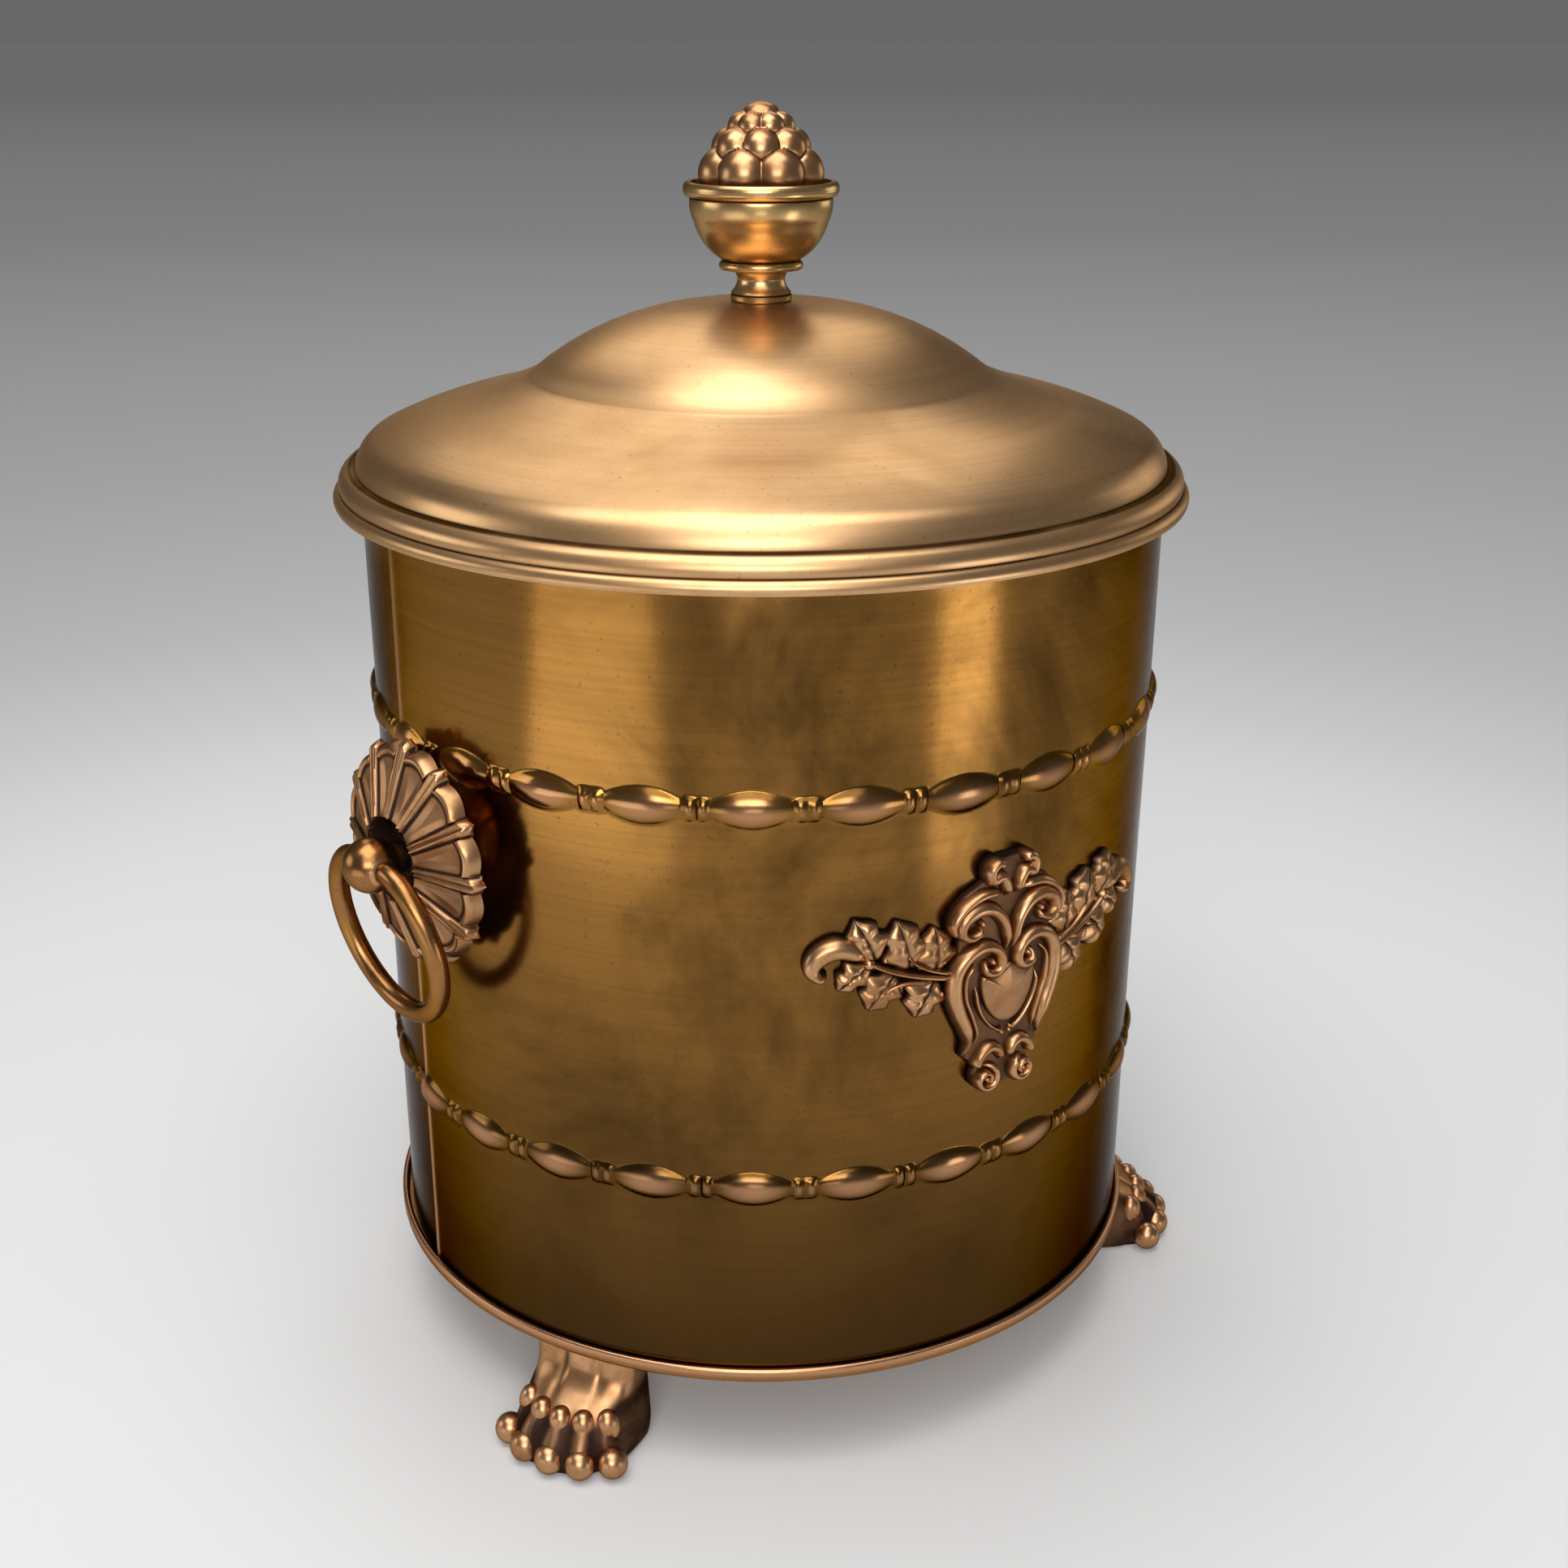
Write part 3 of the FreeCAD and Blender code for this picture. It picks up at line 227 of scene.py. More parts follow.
def turned(grid, degrees, shift=(0, 0, 0)):
    """Points turned about Z, then moved."""
    angle = math.radians(degrees)
    cosine, sine = math.cos(angle), math.sin(angle)
    matrix = np.array([[cosine, -sine, 0], [sine, cosine, 0], [0, 0, 1]])
    return grid @ matrix.T + np.array(shift, float)


# Materials


def node(tree, kind, links=(), out=0, **settings):
    """Add one shader node and give back one of its outputs.

    Settings are the node's own fields. Links are values or outputs for its inputs, in their order or by key.
    """
    made = tree.nodes.new("ShaderNode" + kind)
    for key, value in settings.items():
        setattr(made, key, value)
    for key, value in links.items() if isinstance(links, dict) else enumerate(links):
        if isinstance(value, bpy.types.NodeSocket):
            tree.links.new(value, made.inputs[key])
        else:
            made.inputs[key].default_value = value
    return made.outputs[out]


# Settings of the nodes that blend: a smooth step from 0 to 1, a product, and a mix of two colours
STEP = {"interpolation_type": "SMOOTHSTEP"}
TIMES = {"operation": "MULTIPLY"}
BLEND = {"out": 2, "data_type": "RGBA"}


def aged_brass(name, bright, dark, hollow, worn_and_highlit, edge, roughness, lap, cloud_mm, speck, low_mm=0.0):
    """Brass polished long ago: clouds of tarnish, fine lap marks round the axis, specks and dark hollows.

    Each pair of numbers is the range of a noise, or of the mesh's hollow value, over which a look comes in.
    """
    lap_mm, grit_mm, relief_mm = 1.2, 1.6, 0.12
    metal, streak, spot, gloss = (0.24, 0.62), (0.35, 0.70), (0.66, 0.74), (0.3, 0.7)
    caked, bare, patchy, most_bare = (0.25, 0.95), (-0.15, -0.90), 0.55, 0.85
    rougher, smoother, dirt_rougher, relief_strength = 0.07, 0.04, 0.22, 0.12
    full_shade_share = 0.02
    material = bpy.data.materials.new(name)
    material.use_nodes = True
    tree = material.node_tree
    surface = tree.nodes["Principled BSDF"].inputs
    surface["Metallic"].default_value = 1.0
    # Tarnish swallows the light that grazes it, so the turning edges stay dark
    surface["Specular Tint"].default_value = edge
    where = node(tree, "TexCoord", out="Object")
    east, north, up = node(tree, "SeparateXYZ", (where,)).node.outputs
    flat = node(tree, "VectorMath", (where, (1, 1, 0)), **TIMES)
    radius = node(tree, "VectorMath", (flat,), "Value", operation="LENGTH")
    clouds = node(tree, "TexNoise", {"Vector": where, "Scale": 1 / (cloud_mm * MM), "Detail": 5.0,
                                     "Roughness": 0.6, "Distortion": 0.4}, "Fac")
    # Lap marks are about 0.2 mm apart; they are drawn six times as coarse so that they show
    angle = node(tree, "Math", (north, east), operation="ARCTAN2")
    fine = node(tree, "Math", (radius, 1 / (lap_mm * MM)), **TIMES)
    level = node(tree, "Math", (up, 1 / (lap_mm * MM)), **TIMES)
    round_axis = node(tree, "CombineXYZ", (fine, angle, level))
    laps = node(tree, "TexNoise", {"Vector": round_axis, "Scale": 0.7, "Detail": 3.0}, "Fac")
    grit = node(tree, "TexNoise", {"Vector": where, "Scale": 1 / (grit_mm * MM), "Detail": 2.0}, "Fac")
    patches = node(tree, "MapRange", (clouds, *metal), **STEP)
    if low_mm:
        # Painted shade: the sheet darkens towards its foot, in place of the darker floor and shadow that it
        # reflects there
        unshaded = node(tree, "MapRange", (up, full_shade_share * low_mm * MM, low_mm * MM), **STEP)
        patches = node(tree, "Math", (patches, unshaded), **TIMES)
    body = node(tree, "Mix", {0: patches, 6: dark, 7: bright}, **BLEND)
    streaks = node(tree, "Math", (node(tree, "MapRange", (laps, *streak), **STEP), lap), **TIMES)
    streaked = node(tree, "Mix", {0: streaks, 6: body, 7: dark}, **BLEND)
    specks = node(tree, "Math", (node(tree, "MapRange", (grit, *spot), **STEP), speck), **TIMES)
    spotted = node(tree, "Mix", {0: specks, 6: streaked, 7: hollow}, **BLEND)
    depth = node(tree, "Attribute", out="Fac", attribute_name="hollow")
    uneven = node(tree, "Math", (depth, node(tree, "Math", (clouds, patchy), operation="ADD")), **TIMES)
    dirt = node(tree, "MapRange", (uneven, *caked), **STEP)
    # Below nought, the hollow value mixes in the worn colour: rubbed places, and painted highlights along the
    # drum's lap edge, the pan's rim and the ball holes
    rubbed = node(tree, "Math", (node(tree, "MapRange", (uneven, *bare), **STEP), most_bare), **TIMES)
    polished = node(tree, "Mix", {0: rubbed, 6: spotted, 7: worn_and_highlit}, **BLEND)
    tree.links.new(node(tree, "Mix", {0: dirt, 6: polished, 7: hollow}, **BLEND), surface["Base Color"])
    rough = node(tree, "MapRange", (clouds, *gloss, roughness + rougher, roughness - smoother))
    dull = node(tree, "Math", (dirt, dirt_rougher, rough), operation="MULTIPLY_ADD")
    tree.links.new(dull, surface["Roughness"])
    relief = node(tree, "Mix", {0: 1.0 - lap, 2: laps, 3: grit}, data_type="FLOAT")
    bump = node(tree, "Bump", {"Strength": relief_strength, "Distance": relief_mm * MM, "Height": relief})
    tree.links.new(bump, surface["Normal"])
    return material


def finish(which):
    """The material of one finish, made once."""
    found = bpy.data.materials.get(which)
    if found:
        return found
    tone = bpy.context.scene.coal_bin_colours
    made = {
        # Rolled sheet brass, polished by hand and darkened by age, with painted shade towards its foot:
        # vertical soft gloss with level wipe marks
        "sheet_brass_tarnished": dict(
            bright=tone.drum, dark=tone.drum_dark, hollow=tone.cast_dark, worn_and_highlit=tone.copper,
            roughness=0.18, lap=0.14, cloud_mm=90, speck=0.35, low_mm=300),
        # Spun brass, lapped on the lathe: circles round the axis and a pale even gloss
        "spun_brass_lapped": dict(
            bright=tone.lid, dark=tone.lid_dark, hollow=tone.drum_dark, worn_and_highlit=tone.lid,
            roughness=0.33, lap=0.35, cloud_mm=70, speck=0.30),
        # Sand cast brass, waxed: rubbed bright on top, dark wax left in the hollows
        "cast_brass_waxed": dict(
            bright=tone.cast, dark=tone.rod, hollow=tone.cast_dark, worn_and_highlit=tone.copper,
            roughness=0.30, lap=0.05, cloud_mm=14, speck=0.25),
        # Drawn brass rod, bent and rubbed by hands: brown, with a close gloss
        "rod_brass_rubbed": dict(
            bright=tone.rod, dark=tone.drum, hollow=tone.cast_dark, worn_and_highlit=tone.copper,
            roughness=0.26, lap=0.05, cloud_mm=18, speck=0.40),
        # Turned brass, cut on the lathe: yellow, with fine tool marks round the axis
        "turned_brass": dict(
            bright=tone.finial, dark=tone.lid_dark, hollow=tone.drum_dark, worn_and_highlit=tone.lid,
            roughness=0.24, lap=0.25, cloud_mm=30, speck=0.25),
    }[which]
    return aged_brass(which, edge=tone.edge, **made)


# Surfaces


def band_rise(angle, height, sizes):
    """How far the bands stand out at an angle and height, and how near that point is to a bead's edge.

    A bead's section is a half ellipse whose height and width follow the cosine of the way along the bead; two
    short reels, half ellipses both ways, stand on the thin neck between two beads.
    """
    beads, roundness = 26, 0.85
    bead_half, bead_width, neck_width, neck_rise = 12.8, 6.5, 2.8, 0.8
    reel_half, reel_width, reel_rise, reel_back = 1.9, 4.2, 1.95, 2.1
    reel_roundness, reel_drop = 0.7, 0.75
    edge_width, reel_edge_height, reel_edge, reel_edge_width = 0.9, 3.5, 1.05, 0.3
    pitch = 360 / beads
    arc = math.radians(pitch) * sizes.drum_radius
    along = np.abs((angle / pitch + 0.5) % 1 - 0.5) * arc
    taper = np.cos(unit(along / bead_half) * np.pi / 2) ** roundness
    width = neck_width + (bead_width - neck_width) * taper
    across = (along - arc / 2 + reel_back) / reel_half
    reel_end = bell(np.abs(across) - reel_edge, reel_edge_width)
    rise = np.zeros(np.broadcast(angle, height).shape)
    edge = np.zeros_like(rise)
    for level in (sizes.upper_band, sizes.lower_band):
        off = height - level
        bead = (neck_rise + (sizes.bead_rise - neck_rise) * taper) * unit(1 - (off / width) ** 2) ** roundness
        reel = reel_rise * unit(1 - (off / reel_width) ** 2) ** reel_roundness
        reel = np.where(np.abs(across) < 1, reel * np.sqrt(unit(1 - reel_drop * across ** 2)), 0)
        rise = np.maximum(rise, np.maximum(bead, reel))
        edge = np.maximum(edge, bell(np.abs(off) - width, edge_width))
        edge = np.maximum(edge, bell(off, reel_edge_height) * reel_end)
    return rise, edge


def wall(name, sizes, node_name, first, last, clamp, jog):
    """One half of the drum: its section, with the rolled rim, swept round the axis and raised by the bands.

    Below its rim the sheet steps in by the jog, to lie under the other half, and from the step up its two
    ends stop short by the clamp, in degrees.
    """
    step_low, step_run, level_gap = 316.5, 6.0, 0.1
    plain_rows, band_rows, band_half = 14, 29, 7.2
    wire, roll, roll_points = 1.25, 2.45, 14
    column_step, plain_end = 0.4, 6.4
    fold_middle, fold_width, fold_top, fold_rise = 1.2, 1.3, 320.0, 0.6
    slow_wave, slow_count, slow_slope = 0.10, 7, 0.021
    quick_wave, quick_count, quick_slope, quick_start = 0.07, 13, 0.035, 1.3
    true_foot = 8.0
    end_dirt, edge_dirt, bead_wear, fold_highlight = 0.3, 0.40, 0.62, 0.9
    low = sizes.base_height + PAN_GAUGE
    bands = [np.linspace(level - band_half, level + band_half, band_rows)
             for level in (sizes.lower_band, sizes.upper_band)]
    rows = np.unique(np.concatenate([
        np.linspace(low, sizes.roll_height, plain_rows), *bands, [step_low, step_low + step_run]]))
    turn = np.radians(np.linspace(180, -90, roll_points))
    around = np.stack([np.cos(turn), np.sin(turn)], -1)
    middle = np.array([sizes.drum_radius + wire, sizes.roll_height])
    inner, outer = middle + wire * around, (middle + roll * around)[::-1]
    shift = unit((step_low + step_run - rows) / step_run) * jog
    out_face = np.stack([sizes.drum_radius - shift, rows], -1)
    in_face = out_face[::-1] - [sizes.gauge, 0]
    section = np.concatenate([out_face, inner[1:], outer[:-1], in_face])
    height = section[:, 1:]
    count, half_roll = len(rows), roll_points - 1
    embossed = np.concatenate([np.ones(count), np.zeros(2 * half_roll), np.ones(count)])[:, None]
    angle = np.linspace(first, last, int((last - first) / column_step))[None, :]
    angle = np.where(height > step_low - level_gap, np.clip(angle, first + clamp, last - clamp), angle)
    from_end = np.minimum(np.abs(angle - first), np.abs(last - angle))
    rise, edge = band_rise(angle, height, sizes)
    rise = np.where(from_end < (clamp > 0) * plain_end, 0, rise) * embossed
    # The lapping edge is turned over, so it stands proud; the thin bright line along it, in the worn colour,
    # is a painted highlight
    to_edge = from_end * math.radians(1) * sizes.drum_radius
    proud = bell(to_edge - fold_middle, fold_width) * (clamp == 0) * (height < fold_top)
    rise = np.maximum(rise, fold_rise * proud)
    turn = np.radians(angle)
    # Hand worked sheet is never quite true: slow waves of a tenth of a millimetre
    wave = (slow_wave * np.sin(slow_count * turn + slow_slope * height)
            + quick_wave * np.sin(quick_count * turn - quick_slope * height + quick_start))
    reach = section[:, :1] + rise + (wave - slow_wave - quick_wave) * embossed * (height > low + true_foot)
    grid = polar(reach, turn, height)
    rim, rim_back = grid[count:count + half_roll], grid[count + 2 * half_roll - 1:count + half_roll - 1:-1]
    caps = [np.stack([front[:, column], back[:, column]], 1)
            for front, back in ((grid[:count], grid[::-1][:count]), (rim, rim_back)) for column in (0, -1)]
    wear = np.clip(edge_dirt * edge - bead_wear * rise / sizes.bead_rise, -1, 1) * embossed
    grids = [(grid, wear - fold_highlight * proud, True, False)] + [(cap, end_dirt, False, False) for cap in caps]
    return piece(name, grids, finish("sheet_brass_tarnished"), "drum", [node_name])


def lid_section():
    """The spun lid's section, outside then inside, as heights above its lower edge."""
    gauge, lip, flat = 1.4, 153.0, 10.9
    return profile([
        (lip - gauge, 0), (lip, 0, 3.0), (151.0, 4.6, 5.0), (145.2, 11.4, 12.6), (138.0, 21.8, 134.0),
        (112.0, 30.8, -155.0), (82.8, 40.8, 110.0), (flat, CROWN_HEIGHT), (ROD_HOLE, CROWN_HEIGHT),
        (ROD_HOLE, CROWN_HEIGHT - gauge), (flat, CROWN_HEIGHT - gauge, -110.0), (82.8, 40.8 - gauge, 155.0),
        (112.0, 30.8 - gauge, -134.0), (138.0 - gauge, 21.8 - gauge, -11.9),
        (145.2 - gauge, 11.4 - gauge, -5.0), (151.0 - gauge, 4.6 - gauge / 2),
    ])


def near(heights, spots, width):
    """How near a height is to any of several spots: a bell curve of the given width."""
    return np.max([bell(heights - spot, width) for spot in spots], axis=0)


def ball(spot, radius, tall):
    """An ellipsoid about a spot: a sphere by latitude and longitude, stretched upwards, rubbed bright on top
    and darker underneath, which is painted shade.
    """
    side_wear, rub_and_under_shade = 0.1, 0.7
    rise = np.radians(np.linspace(-90, 90, 17))[:, None]
    turn = np.radians(np.arange(0, 360, 15))[None, :]
    points = polar(np.cos(rise), turn, tall * np.sin(rise))
    return points * radius + np.array(spot), -side_wear - rub_and_under_shade * np.sin(rise), False, True


def eased(height, levels, values):
    """Values read off a broken line at each height, averaged over 3 mm both ways so that no corner shows."""
    return np.mean([np.interp(height + shift, levels, values) for shift in np.linspace(-3, 3, 9)], axis=0)


def paw():
    """A lion paw: a radius for each angle and height about an upright axis through the ankle.

    The radius is that of a rounded box that runs out from the leg to the instep. Two grooves part the tendons
    on the leg's front, and a cosine of the fan angle raises a ridge along each toe. The knuckles and the toes
    are two rows of five ellipsoids on those ridges.
    """
    squareness, toe_pitch, fan_back = 2.6, 20.0, 5.0
    instep_top, instep_run, fan_end, fan_run = 21.0, 5.0, 56.0, 12.0
    leg_middle, leg_half, ridge_rise = 30.0, 9.0, 0.7
    left_groove, right_groove, right_share, groove_width, groove_depth = -6.5, 9.5, 0.7, 1.8, 1.2
    sole_share, sole_round = 0.94, 1.6
    flank_in, flank_run, flank_top, flank_fade = 13.0, 5.0, 30.0, 8.0
    toe_dirt, ridge_wear, flank_dark, groove_dirt, sole_dirt = 0.80, 0.26, 0.75, 0.8, 0.8
    ankle_dirt, ankle_half, leg_wear, most_wear = 0.25, 3.0, 0.2, 0.6
    # The lower rows, up to the ankle, are closer
    height = np.concatenate([np.linspace(0, 24, 56), np.linspace(24.6, PAW_HEIGHT, 18)])[:, None]
    turn = np.radians(np.linspace(-180, 180, 300, endpoint=False))[None, :]
    ahead, across = np.cos(turn), np.sin(turn)
    front = eased(height, [0, 5, 10, 14, 18, 22, 27, PAW_HEIGHT],
                  [29.0, 30.6, 29.6, 26.6, 21.6, 15.0, 8.0, 4.4])
    rear = np.interp(height, [0, PAW_HEIGHT], [14.0, 22.0])
    side = eased(height, [0, 6, 16, 26, PAW_HEIGHT], [21.5, 22.8, 21.2, 19.4, 20.4])
    depth = np.where(ahead > 0, front, rear)
    box = ((np.abs(ahead) / depth) ** squareness + (np.abs(across) / side) ** squareness) ** (-1 / squareness)
    over = box * across
    fan = np.degrees(np.arctan2(over, box * ahead + fan_back))
    instep = unit((instep_top - height) / instep_run) * unit((fan_end - np.abs(fan)) / fan_run)
    ridge = np.cos(2 * np.pi * fan / toe_pitch)
    leg = bell(height - leg_middle, leg_half) * unit(ahead * 4)
    grooves = bell(over - left_groove, groove_width) + right_share * bell(over - right_groove, groove_width)
    rounded = sole_share + (1 - sole_share) * unit(height / sole_round)
    reach = (box - groove_depth * leg * grooves + ridge_rise * ridge * instep) * rounded
    flank = unit((np.abs(over) - flank_in) / flank_run) * unit((flank_top - height) / flank_fade)
    # Dirt lies between the toes, in the grooves and under the ankle, and the flanks are darker too
    dirt = np.maximum(instep * (toe_dirt - ridge_wear * ridge), flank_dark * flank)
    dirt = dirt + groove_dirt * leg * grooves
    dirt = dirt + ankle_dirt * bell(height - instep_top, ankle_half) - leg_wear * leg * (1 - grooves)
    skin = polar(reach, turn, height)
    grids = [(skin, np.clip(dirt, -most_wear, 1), False, True)]
    for row, level in ((0, 0.0), (-1, PAW_HEIGHT)):
        centre = np.broadcast_to([0.0, 0.0, level], skin[row].shape)
        grids.append((np.stack([centre, skin[row]]), sole_dirt, False, True))
    for out, radius, level, tall in ((33.2, 5.5, 6.0, 1.05), (24.6, 4.7, 15.4, 1.4)):
        for toe in (-2, -1, 0, 1, 2):
            way = math.radians(toe * toe_pitch)
            grids.append(ball((out * math.cos(way) - fan_back, out * math.sin(way), level), radius, tall))
    return grids


def on_handle(grid, azimuth, wall_radius, lean=0.0, out=0.0):
    """Points of a handle piece put on the wall: Z goes out from the drum and Y up, after a lean about X."""
    tilt = math.radians(lean)
    x, y, z = np.moveaxis(grid, -1, 0)
    y, z = y * math.cos(tilt) - z * math.sin(tilt), y * math.sin(tilt) + z * math.cos(tilt)
    standing = np.stack([z + wall_radius + out, x, y], -1)
    return turned(standing, azimuth, (0, 0, bpy.context.scene.coal_bin_sizes.handle_height))


def rosette():
    """A cast dish of twelve petals: height over the wall for each angle and radius.

    A cone falls from crown to edge. Each petal is a shallow trough with a raised lip, and between two petals
    runs a rib with a groove along its top, which ends in a small gable past the lips.
    """
    columns, pitch = 480, 360 / 12
    well_radius, hub_radius, hub_back, hub_step = 14.8, 12.0, 0.3, 0.4
    petal_edge, petal_swell, swell_from, swell_run = 37.0, 1.7, 4.0, 11.0
    gable_radius, gable_half, gable_out = 38.5, 3.4, 3.4
    cone_top, cone_radius, cone_fall, cone_run = 18.6, 16.5, 7.4, 22
    rib_rise, rib_steep, groove_depth, groove_width = 1.5, 2.6, 0.8, 0.55
    trough_depth, trough_run, lip_rise, lip_share, lip_width = 1.1, 3.0, 1.3, 0.90, 0.055
    roll_fall, roll_share, roll_power, first_ring, first_lift = 3.4, 0.93, 2.2, 0.02, 0.2
    rib_half, rib_widening, sag_run, sag_power = 0.9, 0.055, 0.8, 0.6
    rib_dirt, rib_dirt_width, lip_dirt, lip_foot, lip_dirt_width = 0.8, 0.5, 0.5, 0.82, 0.03
    trough_dirt, rib_wear, lip_wear, most_wear = 0.44, 0.40, 0.45, 0.6
    angle = np.linspace(0, 360, columns, endpoint=False)[None, :]
    turn = np.radians(angle)
    share = np.concatenate([
        np.linspace(0, 0.12, 7), np.linspace(0.14, 0.8, 18), np.linspace(0.82, 1, 16)])[:, None]
    off = np.abs((angle / pitch + 0.5) % 1 - 0.5) * pitch
    gable = unit(1 - gable_radius * np.radians(off) / gable_half)
    swell = unit((off - swell_from) / swell_run)
    edge = petal_edge + petal_swell * np.sin(swell * np.pi / 2) + gable_out * np.sqrt(gable)
    radius = well_radius + (edge - well_radius) * share
    across = np.radians(off) * radius
    half_rib = rib_half + rib_widening * radius
    cone = cone_top - (radius - cone_radius) * cone_fall / cone_run
    rib = unit(1 - across / half_rib)
    lift = rib_rise * np.minimum(rib * rib_steep, 1) - groove_depth * bell(across, groove_width)
    sag = np.sin(np.pi * unit((share - first_ring) / sag_run)) ** sag_power
    trough = -trough_depth * unit((across - half_rib) / trough_run) * sag
    lip = np.where(rib > 0, 0, lip_rise * bell(share - lip_share, lip_width))
    roll = -roll_fall * unit((share - roll_share) / (1 - roll_share)) ** roll_power
    height = np.where(share < first_ring, cone + first_lift, cone + lift + trough + lip + roll)
    # Dirt lies along the ribs, inside the lips and, thinner, over the troughs
    dirt = rib_dirt * bell(across - half_rib, rib_dirt_width)
    dirt = dirt + lip_dirt * bell(share - lip_foot, lip_dirt_width) * (rib <= 0) + trough_dirt
    dirt = np.clip(dirt - rib_wear * np.clip(lift, 0, 2) - lip_wear * lip, -most_wear, 1)
    front = polar(radius, turn, height)
    well = [[well_radius, 18.4], [14.2, 17.2], [13.2, 14.2], [11.8, 11.4], [11.6, 11.0], [ROD_HOLE, 11.0]]
    bowl = lathe(np.array(well), columns)
    back_radius = hub_radius + (edge - hub_radius - hub_step) * share[::-6]
    back = polar(back_radius, turn, np.interp(back_radius, [hub_radius, cone_radius, 41], [9.0, 16.2, 7.6]))
    hub = lathe(np.array([[hub_radius, 9.0], [hub_radius, hub_back], [ROD_HOLE, hub_back]]), columns)
    rim, throat = np.stack([front[-1], back[0]]), np.stack([front[0], bowl[0]])
    bore, neck = np.stack([hub[-1], bowl[-1]]), np.stack([back[-1], hub[0]])
    hollows = ((front, dirt), (bowl, 0.85), (rim, 0.3), (back, 0.1), (hub, 0.1), (throat, 0.5), (bore, 1.0),
               (neck, 0.9))
    return [(grid, hollow, False, True) for grid, hollow in hollows]


def ball_post_section():
    """Stepped collar, neck and ball, as (radius, distance from the wall)."""
    turn = np.radians(np.linspace(-54.6, 89.9, 40))
    ball_arc = np.stack([BALL_RADIUS * np.cos(turn), BALL_OUT + BALL_RADIUS * np.sin(turn)], -1)
    foot = [[0, -8.9], [2.6, -8.9], [3.0, -8.4], [3.0, 11.02], [9.9, 11.02], [10.4, 11.6], [10.4, 12.9],
            [9.9, 13.4], [8.4, 13.4], [8.0, 13.8], [8.0, 15.6], [7.6, 16.0], [5.6, 16.1], [5.5, 16.6]]
    return np.concatenate([foot, ball_arc, [[0, BALL_OUT + BALL_RADIUS]]])


def ring():
    """A round rod carried along the closed ring: a straight pin in the ball, two bends and the bow below."""
    pin, bow, bent, rod, around = 10.2, 30.0, 12.0, 3.6, 28
    drop = math.sqrt((bow - bent) ** 2 - pin ** 2)
    low = math.atan2(drop, pin)
    turn = np.linspace(np.pi / 2, low, 14)
    shoulder = np.stack([pin + bent * np.cos(turn), bent * np.sin(turn) - bent], -1)
    turn = np.linspace(low, -np.pi - low, 120)
    below = np.stack([bow * np.cos(turn), bow * np.sin(turn) - bent - drop], -1)
    straight = np.stack([np.linspace(-pin, pin, 9), np.zeros(9)], -1)
    line = np.concatenate([straight[:-1], shoulder[:-1], below[:-1], (shoulder * [-1, 1])[::-1][:-1]])
    ahead = np.roll(line, -1, 0) - np.roll(line, 1, 0)
    ahead /= np.linalg.norm(ahead, axis=1)[:, None]
    outward = np.stack([ahead[:, 1], -ahead[:, 0]], -1)
    turn = np.linspace(0, 2 * np.pi, around, endpoint=False)[None, :, None]
    flat = line[:, None, :] + rod * np.cos(turn) * outward[:, None, :]
    return np.concatenate([flat, np.broadcast_to(rod * np.sin(turn), (len(line), around, 1))], -1)


def on_wall(across, up, rise):
    """Points of the crest put on the drum: across from its middle plane, up, and rise out from the wall."""
    half_thick = 4.0
    sizes = bpy.context.scene.coal_bin_sizes
    azimuth = np.arcsin(across / (sizes.drum_radius + half_thick))
    radius = sizes.drum_radius + FIT_GAP + rise
    return np.stack([radius * np.sin(azimuth), -radius * np.cos(azimuth), sizes.crest_height + up], -1)


def stroke(corners, width, top, base, side, count):
    """A scroll: a half ellipse carried along a curve on the wall, its width and rise fading at both ends."""
    start_run, end_run, end_share = 0.35 / 2.2, 0.07, 0.02
    line = smooth_path(corners, count)
    along = np.linspace(0, 1, count)
    ahead = np.gradient(line, axis=0)
    ahead /= np.linalg.norm(ahead, axis=1)[:, None] + 1e-9
    cross = np.stack([-ahead[:, 1], ahead[:, 0]], -1)
    width = np.interp(along, np.linspace(0, 1, len(width)), width)
    fade = unit(np.minimum(along / start_run, (1 - along) / end_run)) ** 0.5
    fade[[0, -1]] = end_share
    turn = np.linspace(0, np.pi, 13)[None, :]
    off = (width * fade)[:, None] * np.cos(turn)
    rise = base * (np.sin(turn) > 1e-6) + (top - base) * fade[:, None] * np.sin(turn) ** 0.8
    flat = line[:, None, :] + off[..., None] * cross[:, None, :]
    return on_wall(flat[..., 0] * side, flat[..., 1], rise), unit(1.05 - rise / top), False, False


def leaf(base, tip, width, side, bow):
    """A lobed leaf: domed across, its outline swelling in three lobes, with a vein groove down the middle."""
    top, lobes, lobe_swell, narrowing = 5.0, 2.6, 0.20, 0.25
    vein_depth, vein_width, rib_rise, sunk = 0.9, 0.13, 0.35, 0.4
    base, tip = np.array(base, float), np.array(tip, float)
    along = np.linspace(0, 1, 26)[:, None]
    over = np.linspace(-1, 1, 19)[None, :]
    ahead = (tip - base) / np.linalg.norm(tip - base)
    cross = np.array([-ahead[1], ahead[0]])
    swell = np.sin(np.pi * along ** 0.85) ** 0.65 * (1 + lobe_swell * np.cos(2 * np.pi * lobes * along + 0.4))
    half = width / 2 * swell * (1 - narrowing * along)
    aside = half * over + bow * np.sin(np.pi * along)
    x, y = (base[axis] + (tip - base)[axis] * along + cross[axis] * aside for axis in (0, 1))
    dome = np.sqrt(unit(1 - over ** 2)) ** 0.7
    body = unit(np.sin(np.pi * along)) ** 0.35
    vein = vein_depth * bell(over, vein_width) * body
    ribs = rib_rise * np.cos(2 * np.pi * (3.2 * along - 0.8 * np.abs(over))) * body * dome
    rise = (top - vein + ribs - sunk) * dome * body
    return on_wall(x * side, y, rise), unit(0.95 - rise / top + 0.6 * bell(over, 0.12)), False, False


